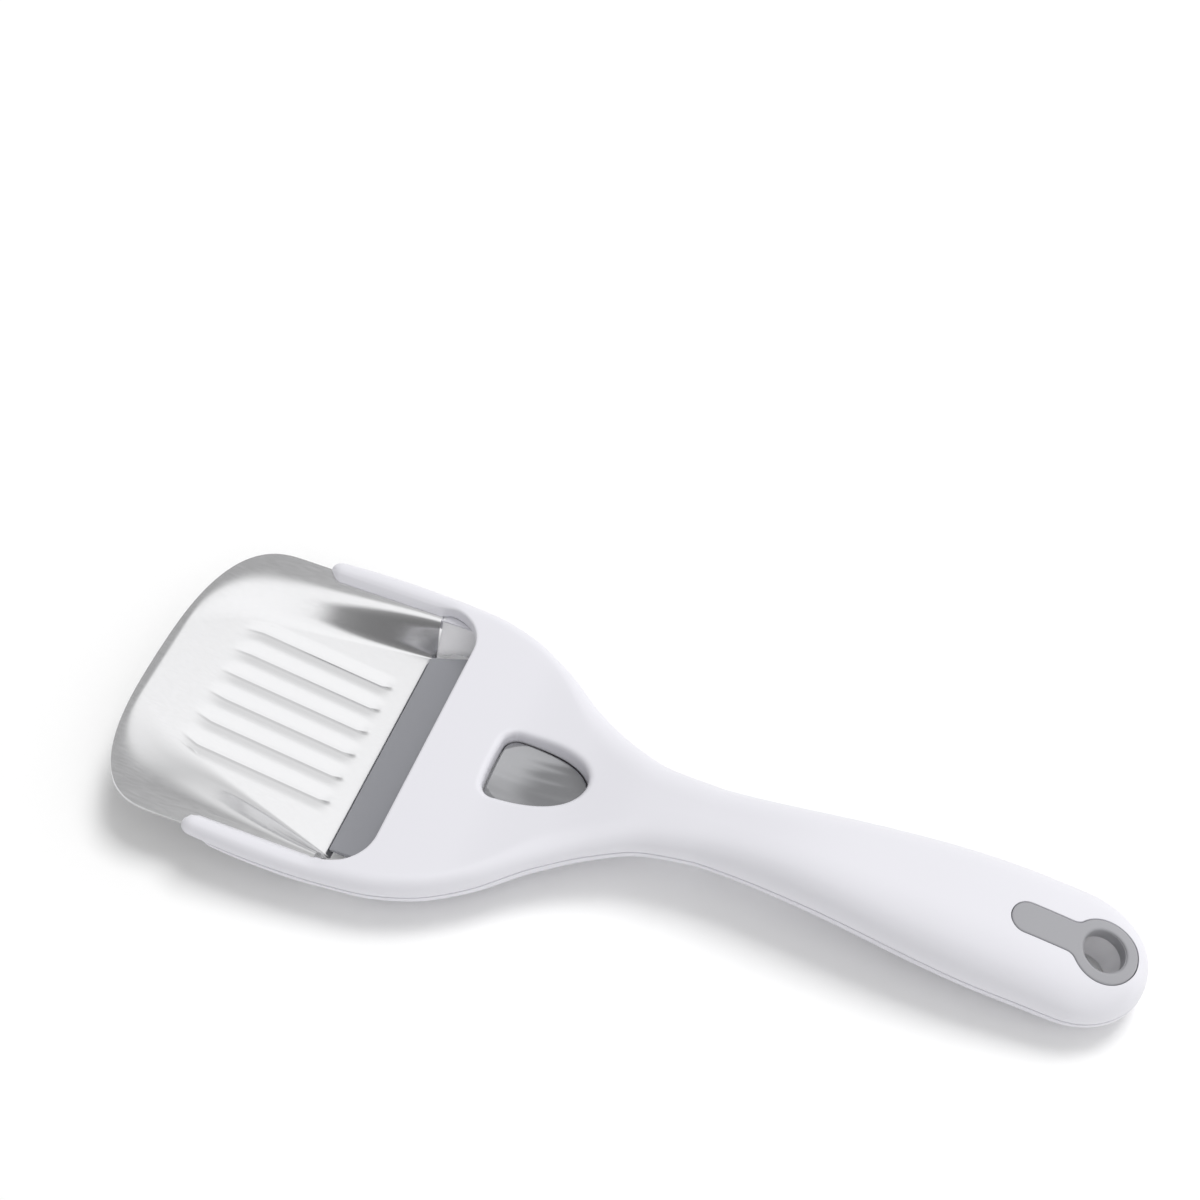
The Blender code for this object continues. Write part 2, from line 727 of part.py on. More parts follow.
def screw_levels(x):
    """Heights of a screw: under its head, top of its head, and its point."""
    head = under_z(x) + SCREW_SINK
    return head, head + SCREW_HEAD_THICK, top_z(x) - WALL - 2 * FIT


def upper_shell():
    """White top half: arms' upper lips, head, neck and the top of the handle."""
    item = shell_solid("upper_shell", 1, ARM_TIP_X)
    cut(item, plate("mouth_upper", mouth_outline(MOUTH_HALF, MOUTH_X, MOUTH_CORNER),
                    0.0, HUMP_Z))
    cut(item, shell_cavity("cavity_upper", 1, MOUTH_X + WALL, CAVITY_END_X))
    join(item, plate("collar", window_outline(COLLAR_WALL), COLLAR_FOOT_Z, HEAD_TOP_Z - WALL / 2))
    skirt = MOUTH_HALF - MOUTH_CORNER - FIT
    join(item, box("front_skirt", (MOUTH_X, -skirt, SKIRT_FOOT_Z),
                   (MOUTH_X + WALL - FIT / 2, skirt, HEAD_TOP_Z - WALL / 2)))
    for name, x, y in screw_places():
        high = top_z(x) - WALL / 2
        join(item, cylinder("boss_" + name, SCREW_BOSS_RADIUS, seam_z(x) + SEAM_GAP / 2, high, (x, y)))
    cut(item, plate("window", window_outline(), SOLE_Z, HUMP_Z))
    rims = []
    for grow, lift in ((0.0, -WINDOW_RIM), (WINDOW_RIM * 0.35, -WINDOW_RIM * 0.35),
                       (WINDOW_RIM, 0.0), (WINDOW_RIM * 1.6, WINDOW_RIM / 2)):
        rims.append([(x, y, top_z(x) + lift) for x, y in window_outline(grow)])
    cut(item, loft("window_rim", rims))
    for name, x, y in screw_places():
        point = screw_levels(x)[2]
        cut(item, cylinder("pilot_" + name, SCREW_RADIUS + RUNNING, 0.0, point + FIT, (x, y)))
    for side in (1, -1):
        join(item, arm_lip("arm_lip", side))
        cut(item, flange_groove("groove_upper", side))
    cut(item, to_eyelet(plate("eyelet_seat", eyelet_outline(FIT), -EYELET_PLATE - FIT, EYELET_BORE)))
    bore = EYELET_BORE + EYELET_TUBE_WALL + FIT
    cut(item, to_eyelet(cylinder("eyelet_bore_upper", bore, -HUMP_Z, EYELET_BORE)))
    return keep(smooth_shade(item), plastic("white_upper", (0.86, 0.86, 0.88), 0.25))


def lower_shell():
    """White under half: arms' lower lips, sole, pivot posts and the bottom of the handle."""
    item = shell_solid("lower_shell", -1, LOWER_ARM_TIP_X)
    mouth = mouth_outline(BEND_HALF + BEND_WIDTH, MOUTH_X + LIP_SETBACK, LIP_CORNER)
    cut(item, plate("mouth_lower", mouth, -WALL, HUMP_Z))
    cut(item, shell_cavity("cavity_lower", -1, MOUTH_X + WALL, CAVITY_END_X))
    for side in (1, -1):
        join(item, cheek("cheek", side))
        cut(item, flange_groove("groove_lower", side))
    sole = SOLE_Z + SOLE_WALL
    slot = GATE_REAR_HALF + FIT
    cut(item, box("gate_slot", (MOUTH_X - WALL, -slot, sole), (GATE_REAR_X + FIT, slot, HUMP_Z)))
    for side in (1, -1):
        inner, outer = BARREL_HALF + 2 * FIT, BARREL_HALF + 2 * FIT + POST_THICK
        low, high = sorted((side * inner, side * outer))
        join(item, box("pivot_post", (PIVOT_X - POST_HALF, low, sole - ROOT),
                       (PIVOT_X + POST_HALF, high, PIVOT_Z + PIN_RADIUS + POST_OVER)))
    cut(item, cross_pin("pivot_hole", PIN_RADIUS + RUNNING, PIN_HALF + WALL, PIVOT_X, PIVOT_Z))
    join(item, cylinder("spring_seat", SPRING_RADIUS - SPRING_SEAT_GAP, sole - ROOT,
                        sole + SPRING_SEAT, (SPRING_X, 0.0), 16))
    for name, x, y in screw_places():
        low = under_z(x) + SOLE_WALL / 2
        join(item, cylinder("boss_" + name, SCREW_BOSS_RADIUS, low, seam_z(x) - SEAM_GAP / 2, (x, y)))
        cut(item, cylinder("recess_" + name, SCREW_HEAD_RADIUS + FIT, -WALL,
                           screw_levels(x)[1] + RUNNING, (x, y)))
        cut(item, cylinder("hole_" + name, SCREW_RADIUS + FIT, -WALL, HUMP_Z, (x, y), 20))
    bore = EYELET_BORE + EYELET_TUBE_WALL + FIT
    cut(item, to_eyelet(cylinder("eyelet_bore_lower", bore, -HUMP_Z, EYELET_BORE)))
    return keep(smooth_shade(item), plastic("white_lower", (0.84, 0.84, 0.86), 0.28))


def gate_half(x):
    share = (x - GATE_NOSE_X) / (GATE_REAR_X - GATE_NOSE_X)
    return GATE_FRONT_HALF + (GATE_REAR_HALF - GATE_FRONT_HALF) * share


def gate_top(x):
    return GATE_NOSE_Z + GATE_NOSE_THICK + tan(GATE_SLOPE) * (x - GATE_NOSE_X)


STUD_RADIUS = 0.0010
STUD_X = GATE_REAR_X - STUD_RADIUS - FIT
STUD_Y = 0.0180


def thickness_gate():
    """Grey bar over the cutting edge: the food rides under it and the slice leaves below it."""
    heel = MOUTH_X + LIP_SETBACK - FIT
    lap = SOLE_Z + SOLE_WALL + FIT
    nose = GATE_NOSE_X + GATE_NOSE_THICK / 2
    profile = [(nose, GATE_NOSE_Z), (heel, SOLE_Z), (heel, lap),
               (GATE_REAR_X, lap), (GATE_REAR_X, gate_top(GATE_REAR_X)), (nose, gate_top(nose)),
               (GATE_NOSE_X, GATE_NOSE_Z + GATE_NOSE_THICK * 0.6),
               (GATE_NOSE_X, GATE_NOSE_Z + GATE_NOSE_THICK * 0.3)]
    rings = [[(x, side * gate_half(x), z) for x, z in profile] for side in (-1, 1)]
    item = loft("thickness_gate", rings)
    for side in (1, -1):
        low, high = gate_top(STUD_X) - ROOT, lever_lap(STUD_X) + LEVER_ARM_THICK + FIT
        join(item, cylinder("gate_stud", STUD_RADIUS, low, high, (STUD_X, side * STUD_Y), 16))
    return keep(item, plastic("gate_grey", (0.30, 0.30, 0.32), 0.55))


def lever_lap(x):
    """Underside of the lever where it lies on the gate."""
    return gate_top(x) + FIT


def lever_frame():
    """Rocking carrier inside the head: gate at its front, thumb pad on its rear arm."""
    back = PIVOT_X - BARREL_RADIUS - 2 * ROOT
    thick = LEVER_ARM_THICK + FIT
    wide = [(LEVER_FRONT_X, lever_lap(LEVER_FRONT_X)), (back, lever_lap(back)),
            (back, lever_lap(back) + thick), (LEVER_FRONT_X, lever_lap(LEVER_FRONT_X) + thick)]
    item = side_prism("lever_frame", wide, LEVER_FRONT_HALF)
    join(item, box("lever_neck", (back - ROOT, -BARREL_HALF, lever_lap(back) - ROOT),
                   (PIVOT_X, BARREL_HALF, lever_lap(back) + thick - ROOT / 2)))
    join(item, cross_pin("lever_barrel", BARREL_RADIUS, BARREL_HALF, PIVOT_X, PIVOT_Z))
    reach = WINDOW_X + WINDOW_LENGTH - PAD_CLEARANCE - PAD_OVERHANG
    join(item, box("lever_arm", (PIVOT_X, -LEVER_ARM_HALF, LEVER_ARM_Z),
                   (reach, LEVER_ARM_HALF, LEVER_ARM_Z + LEVER_ARM_THICK)))
    cut(item, cross_pin("lever_bore", PIN_RADIUS + RUNNING, BARREL_HALF + WALL, PIVOT_X, PIVOT_Z))
    for side in (1, -1):
        cut(item, cylinder("stud_hole", STUD_RADIUS + FIT / 2, 0.0, HEAD_TOP_Z,
                           (STUD_X, side * STUD_Y), 16))
    for x in pad_peg_stations():
        cut(item, cylinder("pad_peg_hole", PEG_RADIUS + FIT / 2, LEVER_ARM_Z - WALL,
                           LEVER_ARM_Z + WALL, (x, 0.0), 16))
    return keep(item, plastic("lever_white", (0.80, 0.80, 0.80), 0.45))


def pad_peg_stations():
    back = WINDOW_X + WINDOW_LENGTH - PAD_CLEARANCE - PAD_OVERHANG
    return (WINDOW_X + 3 * PEG_RADIUS, back - 2 * PEG_RADIUS)


def thumb_pad():
    """Glossy grey pad that the thumb presses, dished, with two pegs into the lever."""
    foot = LEVER_ARM_Z + LEVER_ARM_THICK + FIT
    item = plate("thumb_pad", window_outline(-PAD_CLEARANCE), foot, PAD_EDGE_Z)
    for x in pad_peg_stations():
        join(item, cylinder("pad_peg", PEG_RADIUS, LEVER_ARM_Z + FIT / 2, foot + ROOT, (x, 0.0), 16))
    bpy.ops.mesh.primitive_uv_sphere_add(segments=24, ring_count=12, radius=1.0)
    dish = bpy.context.object
    dish.name = "dish"
    centre = (WINDOW_X + WINDOW_LENGTH * DISH_CENTRE, 0.0, PAD_EDGE_Z + DISH_RADIUS - PAD_DISH)
    axes = (WINDOW_LENGTH * DISH_REACH, WINDOW_HALF * DISH_SPREAD, DISH_RADIUS, 1.0)
    dish.data.transform(Matrix.Translation(centre) @ Matrix.Diagonal(axes))
    cut(item, dish)
    return keep(smooth_shade(item), plastic("pad_grey", (0.33, 0.34, 0.36), 0.12))


def pivot_pin():
    item = cross_pin("pivot_pin", PIN_RADIUS, PIN_HALF, PIVOT_X, PIVOT_Z)
    return keep(smooth_shade(item), plastic("pin_steel", (0.60, 0.60, 0.62), 0.25, 1.0))


def spring_ends():
    low = SOLE_Z + SOLE_WALL + SPRING_WIRE + FIT / 2
    return low, LEVER_ARM_Z - SPRING_WIRE - FIT / 2


def return_spring():
    """Small compression spring between the sole and the lever's rear arm."""
    curve = bpy.data.curves.new("return_spring", "CURVE")
    curve.dimensions = "3D"
    curve.bevel_depth = SPRING_WIRE
    curve.bevel_resolution = 1
    curve.use_fill_caps = True
    spline = curve.splines.new("POLY")
    low, high = spring_ends()
    count = int(9 * SPRING_TURNS) + 1
    spline.points.add(count - 1)
    for k, point in enumerate(spline.points):
        angle = 2 * pi * SPRING_TURNS * k / (count - 1)
        z = low + (high - low) * k / (count - 1)
        point.co = (SPRING_X + SPRING_RADIUS * cos(angle), SPRING_RADIUS * sin(angle), z, 1.0)
    item = bpy.data.objects.new("return_spring", curve)
    bpy.context.scene.collection.objects.link(item)
    return keep(item, plastic("spring_steel", (0.55, 0.55, 0.57), 0.30, 1.0))


def hang_eyelet():
    """Grey insert: ring and tail flush in the handle, with a tube through it to hang by."""
    item = to_eyelet(plate("hang_eyelet", eyelet_outline(), -EYELET_PLATE, 0.0))
    reach = (top_z(EYELET_X) - END_UNDER_Z - TUBE_FOOT) / cos(EYELET_TILT)
    tube = EYELET_BORE + EYELET_TUBE_WALL
    join(item, to_eyelet(cylinder("eyelet_tube", tube, -reach, -ROOT, segments=32)))
    cut(item, to_eyelet(cylinder("eyelet_hole", EYELET_BORE, -HUMP_Z, EYELET_BORE, segments=32)))
    return keep(item, plastic("eyelet_grey", (0.42, 0.42, 0.44), 0.50))


def shell_screw(name, x, y):
    """Self-tapping pan-head screw, driven up from the underside."""
    head, neck, point = screw_levels(x)
    profile = ((0.0, point), (SCREW_RADIUS * 0.35, point), (SCREW_RADIUS, point - SCREW_POINT),
               (SCREW_RADIUS, neck), (SCREW_HEAD_RADIUS, neck), (SCREW_HEAD_RADIUS, head + SCREW_SINK),
               (SCREW_HEAD_RADIUS * 0.75, head), (0.0, head))
    mesh = bpy.data.meshes.new(name)
    points = [(r, 0.0, z) for r, z in profile]
    mesh.from_pydata(points, [(k, k + 1) for k in range(len(points) - 1)], [])
    item = bpy.data.objects.new(name, mesh)
    bpy.context.scene.collection.objects.link(item)
    item.location = (x, y, 0.0)
    turn = item.modifiers.new("turn", "SCREW")
    turn.steps = turn.render_steps = 20
    turn.use_merge_vertices = True
    turn.merge_threshold = 0.00001
    return keep(item, plastic("screw_steel", (0.50, 0.50, 0.52), 0.35, 1.0))


slicing_plate()
upper_shell()
lower_shell()
thickness_gate()
lever_frame()
thumb_pad()
pivot_pin()
return_spring()
hang_eyelet()
for screw_name, screw_x, screw_y in screw_places():
    shell_screw(screw_name, screw_x, screw_y)
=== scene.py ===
from math import atan2, cos, pi, radians, sin, sqrt, tan

import bmesh
import bpy
import numpy as np
from mathutils import Matrix, Vector
from mathutils.geometry import delaunay_2d_cdt


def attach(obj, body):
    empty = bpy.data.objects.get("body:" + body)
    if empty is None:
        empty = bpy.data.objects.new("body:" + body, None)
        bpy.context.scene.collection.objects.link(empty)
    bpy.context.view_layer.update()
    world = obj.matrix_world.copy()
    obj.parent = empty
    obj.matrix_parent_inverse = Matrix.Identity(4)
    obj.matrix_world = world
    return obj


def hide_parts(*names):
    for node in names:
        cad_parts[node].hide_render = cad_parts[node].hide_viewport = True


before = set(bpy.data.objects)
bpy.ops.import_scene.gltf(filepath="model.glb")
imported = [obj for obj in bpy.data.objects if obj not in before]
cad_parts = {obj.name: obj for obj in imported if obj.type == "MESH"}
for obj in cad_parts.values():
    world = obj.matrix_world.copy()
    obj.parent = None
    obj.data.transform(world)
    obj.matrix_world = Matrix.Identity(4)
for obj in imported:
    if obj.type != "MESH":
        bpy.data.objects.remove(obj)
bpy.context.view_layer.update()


# Camera: the photo looks down on the tool from its near right, from about half a metre away.
CAMERA_AZIMUTH, CAMERA_ELEVATION, CAMERA_DISTANCE = radians(20.65), radians(51.5), 0.4866
CAMERA_AIM = Vector((-0.0253, 0.0507, 0.0163))
camera_back = Vector((sin(CAMERA_AZIMUTH) * cos(CAMERA_ELEVATION),
                      -cos(CAMERA_AZIMUTH) * cos(CAMERA_ELEVATION), sin(CAMERA_ELEVATION)))


def placed(name, data):
    """A new object in the scene that shows the given data."""
    item = bpy.data.objects.new(name, data)
    bpy.context.scene.collection.objects.link(item)
    return item


camera_data = bpy.data.cameras.new("camera")
camera_data.lens, camera_data.sensor_width = 60.0, 36.0
camera_data.clip_start, camera_data.clip_end = 0.01, 20.0
camera = placed("camera", camera_data)
camera.location = CAMERA_AIM + CAMERA_DISTANCE * camera_back
camera.rotation_euler = camera_back.to_track_quat("Z", "Y").to_euler()
bpy.context.scene.camera = camera
bpy.context.scene.view_settings.view_transform = "Standard"


# Upper shell: the top half of the body, injection-moulded in smooth white plastic.  It has the mouth
# for the steel tray, the thumb window and the seat of the eyelet, and is screwed to the lower half.
def through(knots, x):
    """Smooth curve through (station, value) knots, whose slopes are harmonic means of the
    chords on both sides and zero at a turning point, so that it never overshoots."""
    at, value = np.array(knots, float).T
    chord = np.diff(value) / np.diff(at)
    slope = np.zeros(len(at))
    same = chord[:-1] * chord[1:] > 0
    total = np.where(same, chord[:-1] + chord[1:], 1.0)
    slope[1:-1] = np.where(same, 2 * chord[:-1] * chord[1:] / total, 0.0)
    slope[0], slope[-1] = chord[0], chord[-1]
    x = np.clip(x, at[0], at[-1])
    i = np.clip(np.searchsorted(at, x, side="right") - 1, 0, len(at) - 2)
    span = at[i + 1] - at[i]
    t = (x - at[i]) / span
    return ((2 * t ** 3 - 3 * t ** 2 + 1) * value[i] + (t ** 3 - 2 * t ** 2 + t) * span * slope[i]
            + (3 * t ** 2 - 2 * t ** 3) * value[i + 1] + (t ** 3 - t ** 2) * span * slope[i + 1])


def ease(t):
    """0 to 1 with level ends: 3 t squared minus 2 t cubed."""
    t = np.clip(t, 0.0, 1.0)
    return t * t * (3 - 2 * t)


HEAD_HALF, NECK_HALF, GRIP_HALF = 0.0426, 0.0099, 0.0160
TIP_X, SHOULDER_X, NECK_X, GRIP_X, ARC_X, END_X = -0.0920, -0.0560, 0.0200, 0.0900, 0.1030, 0.1200
HEAD_BOW, HEAD_ROUND, SOLE_ROUND, SEAM_GROOVE = 0.0010, 0.0042, 0.0098, 0.00014


def half_width(x):
    """Half the body's width in plan: a bowed head, a swept shoulder, a swelling grip, a round end."""
    bow = HEAD_BOW * ((np.minimum(x, SHOULDER_X) + 0.0720) / 0.0200) ** 2
    head = HEAD_HALF - np.minimum(bow, HEAD_BOW)
    sweep = through(((0.0, 1.0), (0.10, 0.975), (0.24, 0.885), (0.40, 0.675), (0.55, 0.39),
                     (0.70, 0.175), (0.84, 0.045), (1.0, 0.0)), (x - SHOULDER_X) / (NECK_X - SHOULDER_X))
    shoulder = NECK_HALF + (head - NECK_HALF) * sweep
    grip = NECK_HALF + (GRIP_HALF - NECK_HALF) * ease((x - NECK_X) / (GRIP_X - NECK_X))
    round_end = np.sqrt(np.clip(1 - np.clip((x - ARC_X) / (END_X - ARC_X), 0, 1) ** 2, 0, 1))
    return np.where(x < SHOULDER_X, head, np.where(x < NECK_X, shoulder, grip * round_end))


def end_close(x):
    """1 along the handle, falling to 0 at its very end as a quarter of an ellipse."""
    length = 0.25 * (END_X - ARC_X)
    return np.sqrt(np.clip(1 - np.clip((x - END_X + length) / length, 0, 1) ** 2, 0, 1))


def rim_z(x):
    """Height of the steel flange's underside: a straight line along the arms, from 9.6 mm at the
    cutting edge upwards by 3.4 mm in 58.8 mm."""
    return 0.0096 + 0.0034 * (-0.0612 - x) / 0.0588


def seam_z(x):
    """Height of the joint between the shells; along the arms it lies in the steel's thickness."""
    start = rim_z(-0.0616) + 0.00035
    rest = through(((-0.0616, start), (-0.0318, 0.0091), (-0.0140, 0.0108), (0.0200, 0.0140),
                    (0.0450, 0.0140), (0.0900, 0.0102), (0.1095, 0.0077), (0.1200, 0.0071)), x)
    return np.where(x < -0.0616, rim_z(x) + 0.00035, rest)


def crown_z(x):
    """Height of the body's middle line from the arms' tips to the handle's end."""
    seam = seam_z(x)
    line = through(((-0.0920, 0.0156), (-0.0560, 0.0137), (-0.0318, 0.0137), (-0.0140, 0.0151),
                    (0.0040, 0.0184), (0.0200, 0.0203), (0.0450, 0.0220), (0.0700, 0.0209),
                    (0.0900, 0.0189), (0.1095, 0.0150), (0.1200, 0.0125)), x)
    return seam + (line - seam) * end_close(x)


def under_z(x):
    """Height of the body's underside on its middle line."""
    seam = seam_z(x)
    line = through(((-0.0920, 0.0088), (-0.0720, 0.0075), (-0.0580, 0.0052), (-0.0490, 0.0028),
                    (-0.0160, 0.0028), (0.0040, 0.0058), (0.0200, 0.0077), (0.0450, 0.0062),
                    (0.0700, 0.0034), (0.0900, 0.0014), (0.1030, 0.0), (0.1200, 0.0012)), x)
    return seam - (seam - line) * end_close(x)


def edge_round(x, side):
    """How far in from the side the section still curves, above (side 1) or below (side -1): a
    set width at the head, which turns into a share of the half width along the handle."""
    along = ease((x + 0.0318) / (NECK_X + 0.0318))
    in_head = HEAD_ROUND + (side < 0) * SOLE_ROUND * ease((x + 0.0660) / 0.0140)
    in_grip = (0.78 if side > 0 else 0.86) * half_width(x)
    return np.minimum(in_head * (1 - along) + in_grip * along, half_width(x))


def skin_z(x, y, side):
    """Height of the outer surface anywhere on it: level in the middle, with shoulders down (side 1)
    or up (side -1) to the seam.  They are ellipses, boxier under the head and most under the arms."""
    wide = edge_round(x, side)
    past = np.clip((np.abs(y) - half_width(x) + wide) / np.maximum(wide, 1e-9), 0, 1)
    middle = crown_z(x) if side > 0 else under_z(x)
    arms, sole = 1 - ease((x + 0.0720) / 0.0230), 1 - ease((x + 0.0318) / 0.0518)
    power = 2.0 + (0.3 * sole + 0.9 * arms) * (side < 0)
    return seam_z(x) + (middle - seam_z(x)) * (1 - past ** power) ** (1 / power)


def moved_out(loop, out):
    """A closed plan outline moved outwards by out along its own normals, which lie square to the
    line between each point's neighbours."""
    ahead, behind = np.roll(loop, -1, axis=0), np.roll(loop, 1, axis=0)
    run = ahead - behind
    length = np.maximum(np.linalg.norm(run, axis=1), 1e-12)
    normal = np.stack([run[:, 1], -run[:, 0]], axis=1) / length[:, None]
    area = np.sum(loop[:, 0] * ahead[:, 1] - ahead[:, 0] * loop[:, 1])
    return loop + normal * out * (1 if area > 0 else -1)


def arc(cx, cy, radius, start, end, count):
    """Points on a circular arc from one angle to another."""
    turn = np.linspace(start, end, count)
    return np.stack([cx + radius * np.cos(turn), cy + radius * np.sin(turn)], axis=1)


def distance_to(points, loop):
    """Signed distance of plan points to a closed outline, negative inside it: the least distance to
    its edges, and inside where a line from the point crosses an odd number of them."""
    ends = np.roll(loop, -1, axis=0)
    edge = ends - loop
    rel = points[:, None, :] - loop[None, :, :]
    t = np.clip(np.sum(rel * edge, axis=2) / np.sum(edge * edge, axis=1), 0, 1)
    near = np.min(np.linalg.norm(rel - t[:, :, None] * edge, axis=2), axis=1)
    ya, yb = loop[None, :, 1], ends[None, :, 1]
    px, py = points[:, 0:1], points[:, 1:2]
    crosses = ((ya > py) != (yb > py)) & (px < (ends[None, :, 0] - loop[None, :, 0]) * (py - ya)
                                          / np.where(yb == ya, 1e-12, yb - ya) + loop[None, :, 0])
    inside = np.sum(crosses, axis=1) % 2 == 1
    return np.where(inside, -near, near)


FLAT_SHARE, PARAM_WIDTH, EDGE_CROWD, SMOOTH_BELOW = 0.5, 0.040, 1.4, radians(38)


def to_param(plan, side):
    """Plan points laid on the unrolled skin: x stays, and across it runs first over the level
    part and then by the angle round the curved shoulder, crowded towards the edge."""
    x, y = plan[:, 0], plan[:, 1]
    wide = edge_round(x, side)
    flat = np.maximum(half_width(x) - wide, 1e-6)
    angle = np.arcsin(np.clip((np.abs(y) - flat) / np.maximum(wide, 1e-9), 0, 1)) / (pi / 2)
    level = FLAT_SHARE * np.abs(y) / flat
    turned_by = 1 - (1 - angle) ** (1 / EDGE_CROWD)
    across = np.where(np.abs(y) <= flat, level, FLAT_SHARE + (1 - FLAT_SHARE) * turned_by)
    return np.stack([x, np.sign(y) * across * PARAM_WIDTH], axis=1)


def from_param(param, side):
    """The plan point for each point of the unrolled skin."""
    x, across = param[:, 0], np.abs(param[:, 1]) / PARAM_WIDTH
    wide = edge_round(x, side)
    flat = np.maximum(half_width(x) - wide, 1e-6)
    turned_by = np.clip((across - FLAT_SHARE) / (1 - FLAT_SHARE), 0, 1)
    angle = (1 - (1 - turned_by) ** EDGE_CROWD) * pi / 2
    y = np.where(across <= FLAT_SHARE, across / FLAT_SHARE * flat, flat + wide * np.sin(angle))
    return np.stack([x, np.sign(param[:, 1]) * y], axis=1)


def plan_grid(along, across):
    """All points of a grid in plan, from its stations along and across the tool."""
    return np.stack(np.meshgrid(along, across, indexing="ij"), axis=2).reshape(-1, 2)


def plan_triangles(points, edges, wanted, merge, sliver):
    """Delaunay triangles over plan points that keep the given edges.  Those whose centre is wanted
    stay and are turned to face up, by the cross product of two sides.  Slivers are left out."""
    made = delaunay_2d_cdt([Vector(p) for p in points], edges.tolist(), [], 0, merge)
    flat, triangles = np.array([tuple(v) for v in made[0]]), np.array(made[2])
    triangles = triangles[wanted(flat[triangles].mean(axis=1))]
    run, rise = (flat[triangles[:, k]] - flat[triangles[:, 0]] for k in (1, 2))
    turn = run[:, 0] * rise[:, 1] - run[:, 1] * rise[:, 0]
    triangles[turn < 0] = triangles[turn < 0][:, ::-1]
    return flat, triangles[np.abs(turn) > sliver]


def moulded_skin(tip_x, side, cuts):
    """Plan points and triangles of a skin with holes, even over its unrolled surface.  cuts lists
    (outline, rounding radius, rows): rows of points follow each outline, and the grid keeps clear."""
    stations = np.concatenate([
        tip_x + 0.0030 * (1 - np.cos(np.linspace(0, pi / 2, 8))),
        np.arange(tip_x + 0.0045, NECK_X, 0.0015), np.arange(NECK_X, ARC_X, 0.0020),
        END_X - (END_X - ARC_X) * (1 - np.sin(np.linspace(0, pi / 2, 22)))])
    across = np.concatenate([np.linspace(0, FLAT_SHARE, 15), np.linspace(FLAT_SHARE, 1, 15)[1:]])
    across = np.concatenate([-across[:0:-1], across]) * PARAM_WIDTH
    grid = plan_grid(stations, across)
    plan = from_param(grid, side)
    kept = np.ones(len(grid), bool)
    points, edges = [], []
    total = 0
    for outline, radius, rows in cuts:
        kept &= distance_to(plan, moved_out(outline, radius)) > 0.0004
        for out in rows:
            ring = moved_out(outline, out) if out else outline
            ahead = np.roll(np.arange(len(ring)), -1)
            whole = ring[:, 0] > tip_x - 1e-6
            place = np.cumsum(whole) - 1 + total
            points.append(to_param(ring[whole], side))
            edges.append(np.stack([place, place[ahead]], axis=1)[whole & whole[ahead]])
            total += np.sum(whole)
    points.append(grid[kept])

    def outside_cuts(middle):
        centre = from_param(middle, side)
        return np.all([distance_to(centre, outline) > 0 for outline, radius, rows in cuts], axis=0)

    flat, triangles = plan_triangles(np.concatenate(points), np.concatenate(edges), outside_cuts,
                                     1e-7, 1e-14)
    return from_param(flat, side), triangles


def closed_shell(name, layers, triangles):
    """Joins an outer and an inner skin of the same triangles into one solid.  Along each open edge
    a strip runs from the outer skin, through the layers between, to the inner one."""
    count = len(layers[0])
    around = np.concatenate([triangles[:, [0, 1]], triangles[:, [1, 2]], triangles[:, [2, 0]]])
    key = np.sort(around, axis=1)
    order = np.lexsort((key[:, 1], key[:, 0]))
    key, around = key[order], around[order]
    same = np.all(key[1:] == key[:-1], axis=1)
    single = ~np.concatenate([[False], same]) & ~np.concatenate([same, [False]])
    rim = around[single]
    last = len(layers) - 1
    faces = [triangles, triangles[:, ::-1] + last * count]
    for k in range(last):
        near, far = rim + k * count, rim + (k + 1) * count
        faces.append(np.stack([near[:, 1], near[:, 0], far[:, 0]], axis=1))
        faces.append(np.stack([near[:, 1], far[:, 0], far[:, 1]], axis=1))
    return as_mesh(name, np.concatenate(layers), np.concatenate(faces).tolist())


def as_mesh(name, points, faces):
    """A mesh object from points and faces: doubles merged, faces outwards, smooth except at edges
    sharper than SMOOTH_BELOW."""
    mesh = bpy.data.meshes.new(name)
    mesh.from_pydata(points.tolist(), [], faces)
    bm = bmesh.new()
    bm.from_mesh(mesh)
    bmesh.ops.delete(bm, geom=[v for v in bm.verts if not v.link_faces], context="VERTS")
    bmesh.ops.remove_doubles(bm, verts=bm.verts, dist=2e-6)
    bmesh.ops.dissolve_degenerate(bm, edges=bm.edges, dist=1e-7)
    bmesh.ops.recalc_face_normals(bm, faces=bm.faces)
    bm.to_mesh(mesh)
    bm.free()
    mesh.shade_smooth()
    mesh.set_sharp_from_angle(angle=SMOOTH_BELOW)
    return placed(name, mesh)


def rounding(distance, radius):
    """How far an edge of that radius has dropped at a distance from it: a quarter circle."""
    d = np.clip(distance, 0, radius)
    return radius - np.sqrt(np.maximum(radius ** 2 - (radius - d) ** 2, 0))


def rounding_rows(radius, count=6):
    """Distances of rows that share out a quarter circle evenly, and one support row past it."""
    turn = np.linspace(0, pi / 2, count)
    return list(radius * (1 - np.cos(turn))) + [radius * 1.25]


